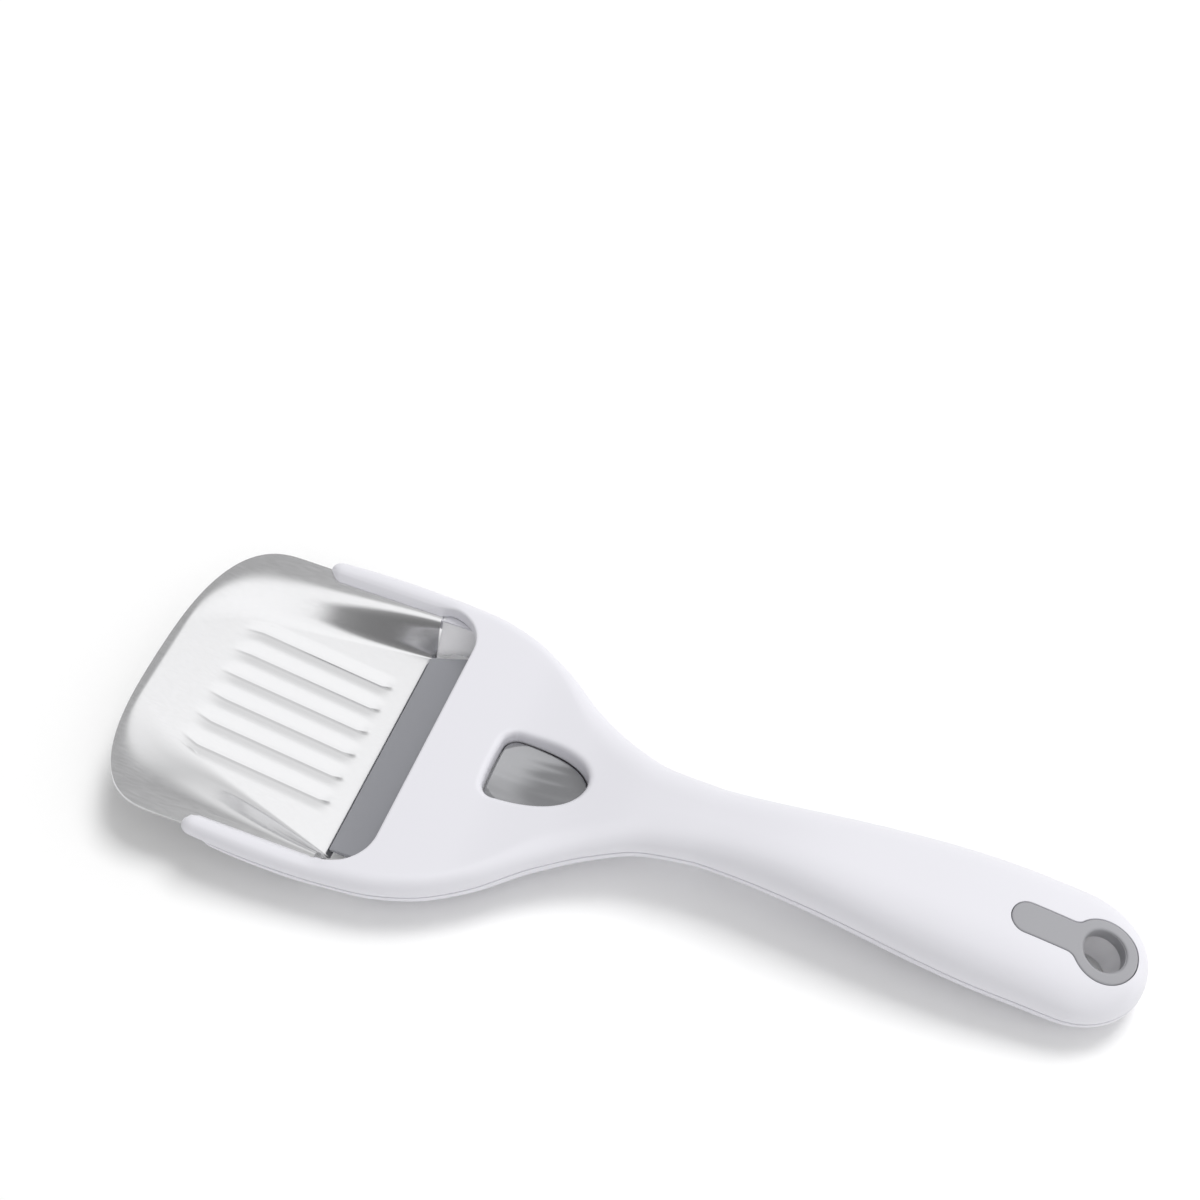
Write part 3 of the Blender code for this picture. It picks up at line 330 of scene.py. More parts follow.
MOUTH_HALF, MOUTH_X, MOUTH_CORNER, MOUTH_ROUND = 0.0377, -0.0493, 0.0100, 0.0006
WINDOW_X, WINDOW_LENGTH, WINDOW_HALF, WINDOW_ROUND = -0.0323, 0.0229, 0.0091, 0.0015
WINDOW_CORNER, WINDOW_BOW = 0.0030, 0.0007
EYELET_X, EYELET_RING, EYELET_TAIL, EYELET_TAIL_HALF = 0.1095, 0.0075, 0.0177, 0.0037
EYELET_TILT, SEAT_GAP, SEAT_ROUND = radians(12.0), 0.00016, 0.0002
CUT_X, PLATE_TIP_X, FLANGE_HALF, EAR_INNER, EAR_X = -0.0612, -0.1198, 0.0395, 0.0382, -0.0532
PLATE_TIP_ROUND, STEEL_PLAY, OVER_STEEL, UNDER_STEEL = 0.0200, 0.0003, 0.00075, 0.00005
ARM_TIP, ARM_ROLL, ARM_ROLL_WIDE, ARM_DRAFT = 0.0026, 0.0015, 0.0034, 0.0011
TOP_WALL, SIDE_WALL, TIP_WALL, SEAM_LIP = 0.0020, 0.0012, 0.0006, 0.00020
FRONT_WALL, FRONT_WALL_HALF, FRONT_WALL_FOOT, ARM_ROOT_X = 0.0019, 0.0274, 0.0086, -0.0500
WINDOW_WALL, WINDOW_WALL_FOOT = 0.0014, 0.0098
ON_EDGE = 1e-5


def mouth_loop(half, front, corner, tip_x):
    """The gap between the arms in plan, from beyond the arms' tips round the head's front."""
    side = np.concatenate([[tip_x - 0.010], np.arange(tip_x, front - corner - 0.00075, 0.0015)])
    lower = np.stack([side, np.full(len(side), -half)], axis=1)
    across = np.linspace(-half + corner, half - corner, 38)[1:-1]
    return np.concatenate([
        lower, arc(front - corner, -half + corner, corner, -pi / 2, 0, 14),
        np.stack([np.full(len(across), front), across], axis=1),
        arc(front - corner, half - corner, corner, 0, pi / 2, 14), lower[::-1] * (1, -1)])


def window_loop(count=30):
    """The thumb window in plan: a shallow bow towards the mouth, rounded towards the handle."""
    corner = WINDOW_CORNER
    share = np.sin(np.linspace(0, pi / 2, count))
    x = WINDOW_X + WINDOW_LENGTH - (WINDOW_LENGTH - corner) * (1 - share)
    y = WINDOW_HALF * np.sqrt(np.clip(1 - ((x - WINDOW_X) / WINDOW_LENGTH) ** 3.2, 0, 1))
    lead = arc(WINDOW_X + corner, y[0] - corner, corner, pi, pi / 2, 8)[:-1]
    front = np.stack([np.full(8, WINDOW_X), np.linspace(0, y[0] - corner, 9)[:-1]], axis=1)
    upper = np.concatenate([front, lead, np.stack([x, y], axis=1)])
    fade = 1 - ease((upper[:, 0] - WINDOW_X) / corner)
    upper[:, 0] -= WINDOW_BOW * fade * (1 - (upper[:, 1] / WINDOW_HALF) ** 2)
    return np.concatenate([upper, upper[1:-1][::-1] * (1, -1)])


def eyelet_loop():
    """The eyelet's outline in plan: a ring with a tail towards the head, with filleted corners."""
    ring, tail, fillet = EYELET_RING, EYELET_TAIL_HALF, 0.0030
    reach = sqrt((ring + fillet) ** 2 - (tail + fillet) ** 2)
    meet = pi - atan2(tail + fillet, reach)
    side = np.linspace(-EYELET_TAIL, -reach, 10)[1:-1]
    upper = np.concatenate([
        arc(-EYELET_TAIL, 0, tail, pi, pi / 2, 14), np.stack([side, np.full(len(side), tail)], axis=1),
        arc(-reach, tail + fillet, fillet, -pi / 2, meet - pi, 8), arc(0, 0, ring, meet, 0, 40)[1:]])
    loop = np.concatenate([upper, upper[1:-1][::-1] * (1, -1)])
    loop[:, 0] = EYELET_X + loop[:, 0] * cos(EYELET_TILT)
    return loop


def tip_squeeze(x):
    """1 along the steel plate, falling to 0 at its tip as an ellipse with the power 2.7."""
    u = np.clip((PLATE_TIP_X + PLATE_TIP_ROUND - x) / PLATE_TIP_ROUND, 0, 1)
    return (1 - u ** 2.7) ** (1 / 2.7)


def flange_half(x):
    """Half the steel's width: it widens a little inside the arms, and its ears narrow again."""
    wide = FLANGE_HALF + 0.0008 * ease((x + 0.0868) / 0.0288)
    return np.where(x > SHOULDER_X, np.minimum(wide, half_width(x) - 0.0020), wide * tip_squeeze(x))


def rounded_arm_tips(points, tip_x, seam, taper=ARM_TIP):
    """Draws the arms' last millimetres together to a blunt rounded tongue, in plan and in height over
    the length taper: both follow an ellipse that is cut off before its end."""
    keep, keep_height = (np.sqrt(1 - (0.90 * np.clip(1 - (points[:, 0] - tip_x) / reach, 0, 1)) ** 2)
                         for reach in (ARM_TIP, taper))
    middle = (half_width(points[:, 0]) + MOUTH_HALF) / 2
    side = np.sign(points[:, 1])
    points[:, 1] = side * (middle + (np.abs(points[:, 1]) - middle) * keep)
    points[:, 2] = seam + (points[:, 2] - seam) * keep_height
    return points


def mouth_edge(distance, x):
    """Drop beside the mouth: a small quarter circle at the head, and a wide parabola on the arms."""
    on_arm = ease((-0.0560 - x) / 0.0070)
    roll = (1 - np.clip(distance / ARM_ROLL_WIDE, 0, 1)) ** 2
    return rounding(distance, MOUTH_ROUND) * (1 - on_arm) + ARM_ROLL * roll * on_arm


def shell_layers(plan, surface, inside, to_cuts, tip_x, side, taper=ARM_TIP):
    """Four layers of a moulded shell, outer to inner.  The inner skin keeps a wall's width off the
    sides and ends.  The two between share out a hole's wall, and elsewhere lie close behind the
    outer skin, which keeps the body's edge along the seam crisp."""
    seam = seam_z(plan[:, 0])
    x = np.clip(plan[:, 0], tip_x + TIP_WALL, END_X - SIDE_WALL)
    y = np.minimum(np.abs(plan[:, 1]), np.maximum(half_width(x) - SIDE_WALL, 0))
    outer = rounded_arm_tips(np.column_stack([plan, surface]), tip_x, seam, taper)
    inner = rounded_arm_tips(np.column_stack([x, np.sign(plan[:, 1]) * y, inside]), tip_x, seam, taper)
    in_hole = np.min(np.abs(to_cuts), axis=0) < ON_EDGE
    layers = [outer]
    for share_in_hole, share, depth in ((0.30, 0.06, 0.00014), (0.65, 0.20, 0.00020)):
        layer = outer + (inner - outer) * np.where(in_hole, share_in_hole, share)[:, None]
        layer[:, 2] = np.where(in_hole, layer[:, 2], outer[:, 2] - side * depth)
        layers.append(layer)
    return layers + [inner]


mouth = mouth_loop(MOUTH_HALF, MOUTH_X, MOUTH_CORNER, TIP_X)
upper_cuts = [(mouth, MOUTH_ROUND, rounding_rows(MOUTH_ROUND)),
              (window_loop(), WINDOW_ROUND, rounding_rows(WINDOW_ROUND, 8)),
              (moved_out(eyelet_loop(), SEAT_GAP), SEAT_ROUND, rounding_rows(SEAT_ROUND, 4))]
plan, upper_faces = moulded_skin(TIP_X, 1, upper_cuts)
x, y = plan[:, 0], np.abs(plan[:, 1])
to_cuts = np.array([distance_to(plan, loop) for loop, radius, rows in upper_cuts])
to_mouth, to_window, to_seat = to_cuts
seam = seam_z(x)
height = skin_z(x, y, 1)
height -= mouth_edge(to_mouth, x) + rounding(to_window, WINDOW_ROUND) + rounding(to_seat, SEAT_ROUND)
surface = np.maximum(height, seam + SEAM_GROOVE + SEAM_LIP)
# Under its wall the shell rests on the steel, closes beside the gate, and runs down thick at the
# head's front and round the window.
inside = np.maximum(height - TOP_WALL, seam + SEAM_GROOVE)
over_steel = (x < EAR_X) & (y < flange_half(x) + STEEL_PLAY)
over_steel &= (x < CUT_X + STEEL_PLAY) | (y > EAR_INNER - STEEL_PLAY)
inside = np.where(over_steel, rim_z(x) + OVER_STEEL, inside)
beside_gate = (x > CUT_X) & (x < ARM_ROOT_X) & (y < EAR_INNER - 0.0002)
inside = np.where(beside_gate, seam + SEAM_GROOVE, inside)
front_wall = (to_mouth < FRONT_WALL) & (y < FRONT_WALL_HALF) & (x > MOUTH_X - 0.001)
inside = np.where(front_wall, FRONT_WALL_FOOT, inside)
inside = np.where(to_window < WINDOW_WALL, WINDOW_WALL_FOOT, inside)
upper_layers = shell_layers(plan, surface, inside, to_cuts, TIP_X, 1)
# Along the arms the mouth's wall leans in towards the tray as it goes down.
draft = ARM_DRAFT * (np.abs(to_mouth) < ON_EDGE) * ease((y - 0.0300) / 0.0060)
draft *= ease((x - TIP_X) / 0.0030) * ease((-0.0590 - x) / 0.0030)
for layer, share in zip(upper_layers[1:], (0.30, 0.85, 1.0)):
    layer[:, 1] -= np.sign(plan[:, 1]) * share * draft
upper_shell = closed_shell("upper_shell_fine", upper_layers, upper_faces)
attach(upper_shell, "body")
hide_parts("upper_shell")


def nodes_of(name):
    """A new material, its node tree and its Principled node."""
    material = bpy.data.materials.new(name)
    material.use_nodes = True
    return material, material.node_tree, material.node_tree.nodes["Principled BSDF"]


def fill(tree, node, **inputs):
    """Gives each named input of a node a value or another node's output.  In the names an underscore
    stands for a space."""
    for name, given in inputs.items():
        socket = node.inputs[name.replace("_", " ")]
        if isinstance(given, bpy.types.NodeSocket):
            tree.links.new(given, socket)
        else:
            socket.default_value = given
    return node


def new_node(tree, kind, **inputs):
    """A new shader node of that kind, with its inputs filled."""
    return fill(tree, tree.nodes.new("ShaderNode" + kind), **inputs)


def moulded_group():
    """Shared detail of moulded plastic: a fine orange-peel height, and a slow drift of its polish."""
    group = bpy.data.node_groups.new("moulded_detail", "ShaderNodeTree")
    for name in ("Grain Scale", "Grain Height"):
        group.interface.new_socket(name, in_out="INPUT", socket_type="NodeSocketFloat")
    for name, kind in (("Drift", "NodeSocketFloat"), ("Normal", "NodeSocketVector")):
        group.interface.new_socket(name, in_out="OUTPUT", socket_type=kind)
    entry, leave = group.nodes.new("NodeGroupInput"), group.nodes.new("NodeGroupOutput")
    place = new_node(group, "TexCoord").outputs["Object"]
    grain = new_node(group, "TexNoise", Vector=place, Scale=entry.outputs["Grain Scale"], Detail=2.0)
    drift = new_node(group, "TexNoise", Vector=place, Scale=70.0, Detail=3.0)
    bump = new_node(group, "Bump", Strength=1.0, Distance=entry.outputs["Grain Height"],
                    Height=grain.outputs["Fac"])
    fill(group, leave, Drift=drift.outputs["Fac"], Normal=bump.outputs["Normal"])
    return group


moulded = moulded_group()


def plastic(name, colour, roughness, spread, grain_scale, grain_height, coat=0.0, specular=0.5):
    """Moulded plastic: a plain colour, a fine grain, and a roughness that drifts by spread."""
    material, tree, shader = nodes_of(name)
    detail = tree.nodes.new("ShaderNodeGroup")
    detail.node_tree = moulded
    fill(tree, detail, Grain_Scale=grain_scale, Grain_Height=grain_height)
    rough = new_node(tree, "MapRange", Value=detail.outputs["Drift"],
                     To_Min=roughness - 2 * spread, To_Max=roughness + 2 * spread)
    rough.clamp = False
    fill(tree, shader, Base_Color=(*colour, 1.0), Roughness=rough.outputs["Result"],
         Normal=detail.outputs["Normal"], Coat_Weight=coat, Coat_Roughness=0.05,
         Specular_IOR_Level=specular)
    return material


def painted(item, material):
    """Makes the material the piece's only one."""
    item.data.materials.clear()
    item.data.materials.append(material)


def finish_piece(item, material):
    """Gives a piece its material."""
    painted(item, material)


white = plastic("white_plastic", (0.785, 0.780, 0.825), 0.306, 0.012, 1500.0, 0.0000006)
finish_piece(upper_shell, white)


# Lower shell: the under half of the body, moulded in the same white plastic.  It is open where the
# slice passes, and has four sunk screw seats and the foot of the hanging hole.
LOWER_TIP_X, LOWER_TAPER = -0.0868, 0.0100
LOWER_MOUTH_HALF, LOWER_MOUTH_X, LOWER_MOUTH_CORNER, LOWER_MOUTH_ROUND = 0.0359, -0.0476, 0.0015, 0.0005
SCREWS = {"shell_screw_front_left": (-0.0300, 0.0225), "shell_screw_front_right": (-0.0300, -0.0225),
          "shell_screw_neck": (0.0240, 0.0), "shell_screw_grip": (0.0800, 0.0)}
SCREW_SEAT, SCREW_SEAT_TOP, UNDER_ROUND = 0.0030, 0.0024, 0.0003
HOLE_FOOT, HOLE_FOOT_TOP, HOLE_DEPTH = 0.0067, 0.0042, 0.0145
UNDER_WALL, COLLAR, ARMS_END_X = 0.0017, 0.0013, -0.0474
SOLE_FRONT_X, SOLE_FRONT_WALL, SOLE_HALF, SOLE_TOP = -0.0478, 0.0014, 0.0315, 0.0045

lower_mouth = mouth_loop(LOWER_MOUTH_HALF, LOWER_MOUTH_X, LOWER_MOUTH_CORNER, LOWER_TIP_X)
under_holes = [arc(*at, SCREW_SEAT, 0, 2 * pi, 41)[:-1] for at in SCREWS.values()]
foot_x = EYELET_X - HOLE_DEPTH * tan(EYELET_TILT)
under_holes.append(arc(0, 0, HOLE_FOOT, 0, 2 * pi, 65)[:-1] * (1 / cos(EYELET_TILT), 1) + (foot_x, 0))
lower_cuts = [(lower_mouth, LOWER_MOUTH_ROUND, rounding_rows(LOWER_MOUTH_ROUND, 4))]
lower_cuts += [(loop, UNDER_ROUND, rounding_rows(UNDER_ROUND, 4)) for loop in under_holes]
plan, lower_faces = moulded_skin(LOWER_TIP_X, -1, lower_cuts)
x, y = plan[:, 0], np.abs(plan[:, 1])
to_cuts = np.array([distance_to(plan, loop) for loop, radius, rows in lower_cuts])
seam = seam_z(x)
height = skin_z(x, y, -1)
for distance, (loop, radius, rows) in zip(to_cuts, lower_cuts):
    height += rounding(distance, radius)
surface = np.minimum(height, seam - SEAM_GROOVE - SEAM_LIP)
# Over its wall the shell is solid along the arms, where it carries the steel, rises at the sole's
# front, and has a collar round each hole.
inside = np.minimum(height + UNDER_WALL, seam - SEAM_GROOVE)
inside = np.where(x < ARMS_END_X, seam - SEAM_GROOVE, inside)
under_steel = (x < CUT_X) | ((x < EAR_X) & (y > EAR_INNER - STEEL_PLAY))
under_steel &= y < flange_half(x) + STEEL_PLAY
inside = np.where(under_steel, rim_z(x) - UNDER_STEEL, inside)
front_edge = (to_cuts[0] < SOLE_FRONT_WALL) & (x > SOLE_FRONT_X)
inside = np.where(front_edge, np.where(y > SOLE_HALF, seam - SEAM_GROOVE, SOLE_TOP), inside)
for distance, at in zip(to_cuts[1:], SCREWS.values()):
    inside = np.where(distance < COLLAR, float(under_z(at[0])) + SCREW_SEAT_TOP, inside)
inside = np.where(to_cuts[-1] < COLLAR, HOLE_FOOT_TOP, inside)
lower_layers = shell_layers(plan, surface, inside, to_cuts, LOWER_TIP_X, -1, LOWER_TAPER)
lower_shell = closed_shell("lower_shell_fine", lower_layers, lower_faces)
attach(lower_shell, "body")
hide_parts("lower_shell")
finish_piece(lower_shell, white)


# Cheeks: two white wedges moulded with the lower shell.  They carry the tray's side walls on from the cutting
# edge to the head, and are polished, so that the slice slides past them.  Their white is painted lighter than
# the shell's: painted light on faces that the head's corner keeps in shade.
CREASE_BACK, CHEEK_FLARE, CHEEK_BACK, CHEEK_FOOT = 0.0303, 0.0058, 0.0373, 0.0022
CHEEK_START_X, CHEEK_END_X, CHEEK_UNDER = -0.0609, -0.0477, 0.0028


def swept_ring(name, rings, closed=False):
    """A solid skin through rows of equal rings of points, its two ends capped unless it is closed."""
    rings = np.asarray(rings)
    rows, count = rings.shape[:2]
    i = np.arange(rows if closed else rows - 1)[:, None]
    j = np.arange(count)[None, :]
    a, b = i * count + j, i * count + (j + 1) % count
    c, d = ((i + 1) % rows) * count + (j + 1) % count, ((i + 1) % rows) * count + j
    faces = np.stack([a, b, c, d], axis=2).reshape(-1, 4).tolist()
    if not closed:
        faces += [list(range(count))[::-1], list(range((rows - 1) * count, rows * count))]
    return as_mesh(name, rings.reshape(-1, 3), faces)


def rounded_polygon(corners, radius, steps):
    """A convex profile with each corner rounded to its radius by a parabola."""
    corners = np.asarray(corners, float)
    radius = np.broadcast_to(radius, len(corners))
    points = []
    for k, corner in enumerate(corners):
        before, after = corners[k - 1] - corner, corners[(k + 1) % len(corners)] - corner
        lengths = np.linalg.norm(before), np.linalg.norm(after)
        before, after = before / lengths[0], after / lengths[1]
        half = np.arccos(np.clip(before @ after, -1, 1)) / 2
        reach = min(radius[k] / np.tan(half), 0.49 * lengths[0], 0.49 * lengths[1])
        a, b = corner + before * reach, corner + after * reach
        t = np.linspace(0, 1, steps + 1)[:, None]
        points.append((1 - t) ** 2 * a + 2 * t * (1 - t) * corner + t ** 2 * b)
    return np.concatenate(points)


def cheek_rings(side):
    """The cheek's section at stations from the cutting edge to the head's front wall: a wedge whose
    face leans outwards by CHEEK_FLARE over the rim's height."""
    rings = []
    for x in np.linspace(CHEEK_START_X, CHEEK_END_X, 14):
        high = float(seam_z(x)) - 0.00025
        foot = max(0.0018, CHEEK_UNDER * float(ease((x - CUT_X) / 0.0051)))
        flare = CHEEK_FLARE / float(rim_z(x))
        lead, crest = CREASE_BACK + flare * foot, CREASE_BACK + flare * high
        corners = [(lead, foot), (crest, high), (CHEEK_BACK, high), (lead + CHEEK_FOOT, foot)]
        ring = rounded_polygon(corners, (0.0003, 0.0006, 0.0001, 0.0003), 5)
        rings.append(np.column_stack([np.full(len(ring), x), side * ring[:, 0], ring[:, 1]]))
    return rings


# A lighter copy of the shell's white plastic: painted light for the shaded cheeks and for the hole's sleeve.
white_painted_lighter = plastic("pale_plastic_painted_light", (0.940, 0.935, 0.955), 0.213, 0.008, 1500.0, 0.0000006, coat=1.0)
for side, where in ((1, "left"), (-1, "right")):
    cheek = swept_ring("head_cheek_" + where, cheek_rings(side))
    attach(cheek, "body")
    finish_piece(cheek, white_painted_lighter)


# Seam tongue: a thin white rail of the lower shell that stands up behind the joint and into the
# upper shell.  It lines the halves up, and closes the groove between them to the light.
TONGUE_IN, TONGUE_END_X, TONGUE_THICK, TONGUE_BELOW, TONGUE_ABOVE = 0.0014, 0.1187, 0.0006, 0.0012, 0.0010

tongue_x = np.concatenate([np.arange(-0.0440, 0.1000, 0.0020),
                           TONGUE_END_X - 0.0180 * (1 - np.sin(np.linspace(0, pi / 2, 16)))])
tongue_half = np.maximum(half_width(tongue_x + 0.0004) - TONGUE_IN, 0.0) * (tongue_x < TONGUE_END_X - 0.0001)
path = np.concatenate([np.column_stack([tongue_x, -tongue_half]),
                       np.column_stack([tongue_x, tongue_half])[-2::-1]])
level = seam_z(path[:, 0])
inward = moved_out(path, -TONGUE_THICK)
section = ((path, -TONGUE_BELOW), (path, TONGUE_ABOVE), (inward, TONGUE_ABOVE), (inward, -TONGUE_BELOW))
tongue_rings = [np.column_stack([ring, level + up]) for ring, up in section]
tongue = swept_ring("seam_tongue", tongue_rings, closed=True)
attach(tongue, "body")
finish_piece(tongue, white)


# Slicing plate: one stamped sheet of stainless steel.  Its floor climbs from the cutting edge to the
# tip and is stiffened by six flutes.  The flared walls turn over a soft bend into the clamped flange.
SHEET, CREASE_TIP, FLOOR_START = 0.0007, 0.0150, 0.0015
FLUTE_PITCH, FLUTE_DEPTH, ARCH_DEPTH, FLUTE_BACK, FLUTE_FRONT = 0.0070, 0.00020, 0.00040, 0.005, 0.014
BEND_HALF, BEND_RUN, GRIND, EDGE_BULGE = 0.0347, 0.0014, 0.0016, 0.30
TRAY_MIDDLE = (-0.0850, 0.0, 0.012)


def bend_half(x):
    """Half the width at the walls' top: the bends run outwards a little towards the head."""
    return BEND_HALF + BEND_RUN * ease((x + 0.0900) / 0.0288)


def wall_rise(v):
    """0 to 1 across the flared wall: straight in the middle, a parabola at the crease and the bend."""
    crease, bend = 0.34, 0.36
    slope = 1 / (1 - crease / 2 - bend / 2)
    start = slope * v ** 2 / (2 * crease)
    end = 1 - slope * (1 - v) ** 2 / (2 * bend)
    return np.where(v < crease, start, np.where(v > 1 - bend, end, slope * (v - crease / 2)))


def flute_drop(y, crease):
    """How far the floor lies below its crowns.  Each flute is a narrow trough of FLUTE_DEPTH, and the
    floor arches by ARCH_DEPTH from one to the next, FLUTE_PITCH apart on both sides of the middle."""
    y = np.abs(y) / np.minimum(1, crease / 0.0200)
    from_flute = np.abs(np.mod(y, FLUTE_PITCH) - FLUTE_PITCH / 2)
    trough = 1 - ease((from_flute - 0.0001) / 0.0009)
    arch = 1 - ease(from_flute / (FLUTE_PITCH / 2))
    inner = y < 3 * FLUTE_PITCH
    return np.where(inner, FLUTE_DEPTH * trough + ARCH_DEPTH * arch, 0.0)


def tray_points(x, share):
    """Underside of the plate.  share runs 0 to 1 over the floor, to 2 up the wall, 3 over the flange."""
    along = (CUT_X - x) / (CUT_X - PLATE_TIP_X)
    crease = CREASE_BACK + (CREASE_TIP - CREASE_BACK) * along
    rim = rim_z(x)
    low = np.minimum(rim_z(PLATE_TIP_X) * (CUT_X - x) / (CUT_X - PLATE_TIP_X - FLOOR_START), rim)
    on_floor = np.clip(share, 0, 1)
    up_wall = np.clip(share - 1, 0, 1)
    out = np.clip(share - 2, 0, 1)
    fade = ease((CUT_X - FLUTE_BACK - x) / 0.004) * ease((x - PLATE_TIP_X - FLUTE_FRONT) / 0.006)
    squeeze = tip_squeeze(x)
    y = (on_floor * crease + up_wall * (bend_half(x) - crease)) * squeeze
    z = low - fade * flute_drop(on_floor * crease, crease) * (share < 1)
    z = z + (rim - low) * wall_rise(up_wall)
    return y + out * (flange_half(x) - bend_half(x) * squeeze), z


plate_rows = np.concatenate([
    CUT_X - GRIND * np.linspace(0, 1, 5) ** 1.5,
    np.arange(CUT_X - 0.0026, PLATE_TIP_X + PLATE_TIP_ROUND, -0.0009),
    PLATE_TIP_X + PLATE_TIP_ROUND * (1 - np.sin(np.linspace(0, pi / 2, 34)))])
half_share = np.concatenate([np.linspace(0, 1, 150), 1 + np.linspace(0, 1, 34)[1:],
                             2 + np.linspace(0, 1, 12)[1:]])
share = np.concatenate([-half_share[:0:-1], half_share])
grid_x = np.repeat(plate_rows[:, None], len(share), axis=1)
grid_y, grid_z = tray_points(grid_x, np.abs(share)[None, :] + np.zeros_like(grid_x))
sheet = np.stack([grid_x, grid_y * np.sign(share), grid_z], axis=2)
ear_rows = np.linspace(CUT_X, EAR_X, 10)[1:]


def sheet_normals(points):
    """Upward unit normals of a grid of points, from the cross product of its two directions."""
    along, across = np.gradient(points, axis=0), np.gradient(points, axis=1)
    normal = np.cross(along, across)
    size = np.linalg.norm(normal, axis=2)
    normal = np.where((size > 1e-14)[:, :, None], normal / np.maximum(size, 1e-20)[:, :, None], (0, 0, 1))
    return normal * np.sign(normal[:, :, 2:3] + 1e-12)


def grid_triangles(rows, columns, start=0):
    """Two triangles for each cell of a grid, wound so that the grid faces up."""
    i, j = np.meshgrid(np.arange(rows - 1), np.arange(columns - 1), indexing="ij")
    a = (start + i * columns + j).ravel()
    b, c, d = a + 1, a + columns + 1, a + columns
    return np.concatenate([np.stack([a, b, c], axis=1), np.stack([a, c, d], axis=1)])


# The sheet grows upwards along its normals, and its floor is ground thin towards the cutting edge.
normal = sheet_normals(sheet)
thin = 0.15 + 0.85 * ease((CUT_X - grid_x) / GRIND)
thick = SHEET * np.where(np.abs(share)[None, :] < 1.0, thin, 1.0)
top = sheet + normal * thick[:, :, None]
lower_points, upper_points = [sheet.reshape(-1, 3)], [top.reshape(-1, 3)]
triangles = [grid_triangles(*sheet.shape[:2])]
# Two ears carry the flanges on behind the cutting edge, into the head's closed slots.
cut_bend, cut_flange = bend_half(CUT_X), flange_half(CUT_X)
ear_share = half_share[half_share >= 2.0 + (EAR_INNER - cut_bend) / (cut_flange - cut_bend)]
for side in (1, -1):
    ear_x = np.repeat(np.concatenate([[CUT_X], ear_rows])[:, None], len(ear_share), axis=1)
    ear_y = cut_bend + (cut_flange - cut_bend) * (ear_share - 2)[None, :]
    ear_y = np.minimum(ear_y, flange_half(ear_x))
    ear = np.stack([ear_x, side * ear_y, rim_z(ear_x)], axis=2)
    start = sum(len(p) for p in lower_points)
    lower_points.append(ear.reshape(-1, 3))
    upper_points.append((ear + (0, 0, SHEET)).reshape(-1, 3))
    triangles.append(grid_triangles(*ear.shape[:2], start=start))
lower_points, upper_points = np.concatenate(lower_points), np.concatenate(upper_points)
# Points that tray and ears share become one, and the sheet's cut edges bulge outwards a little.
first, index = np.unique(np.round(lower_points / 2e-6), axis=0, return_index=True,
                         return_inverse=True)[1:]
triangles = first[index.ravel()][np.concatenate(triangles)]
triangles = triangles[(triangles[:, 0] != triangles[:, 1]) & (triangles[:, 1] != triangles[:, 2])
                      & (triangles[:, 2] != triangles[:, 0])]
middle = (lower_points + upper_points) / 2
outward = middle - TRAY_MIDDLE
outward[:, 2] = 0
outward /= np.maximum(np.linalg.norm(outward, axis=1), 1e-9)[:, None]
bulge = middle + outward * (np.linalg.norm(upper_points - lower_points, axis=1) * EDGE_BULGE)[:, None]
bulge[np.abs(bulge[:, 0] - CUT_X) < 0.0012, 0] = CUT_X
plate = closed_shell("slicing_plate_fine", [upper_points, bulge, lower_points], triangles)
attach(plate, "body")
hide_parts("slicing_plate")


def stretched_noise(tree, stretch, scale, detail):
    """Noise over the piece's own coordinates, each multiplied by its share of stretch first."""
    place = new_node(tree, "TexCoord").outputs["Object"]
    squeeze = new_node(tree, "Mapping", Vector=place, Scale=stretch)
    noise = new_node(tree, "TexNoise", Vector=squeeze.outputs["Vector"], Scale=scale, Detail=detail)
    return noise.outputs["Fac"]


def steel(name, colour, roughness, stretch, scale, height):
    """Metal with a drawn grain: stretched noise drives its bump and its roughness."""
    material, tree, shader = nodes_of(name)
    grain = stretched_noise(tree, stretch, scale, 4.0)
    bump = new_node(tree, "Bump", Height=grain, Distance=height)
    rough = new_node(tree, "MapRange", Value=grain, From_Min=0.3, From_Max=0.7,
                     To_Min=roughness * 0.8, To_Max=roughness * 1.2)
    fill(tree, shader, Base_Color=(*colour, 1.0), Metallic=1.0, Roughness=rough.outputs["Result"],
         Normal=bump.outputs["Normal"])
    return material


tray_steel = steel("sheet_steel", (0.72, 0.72, 0.73), 0.22, (1.0, 12.0, 12.0), 260.0, 0.0000003)
finish_piece(plate, tray_steel)


# Thickness gate: a light grey moulded bar over the cutting edge.  It is matte, its nose is
# rounded, and its heel rests on the sole's lip while the thumb is off the pad.
GATE_NOSE_X, GATE_REAR_X, GATE_SLOPE = -0.0616, -0.0439, radians(14.5)
NOSE_FOOT, NOSE_TOP, HEEL_X, HEEL_FOOT, REAR_FOOT = 0.0019, 0.0025, -0.0479, 0.0028, 0.0048
GATE_HALF, GATE_SPREAD, GATE_END_ROUND = 0.0293, 0.0019, 0.0003

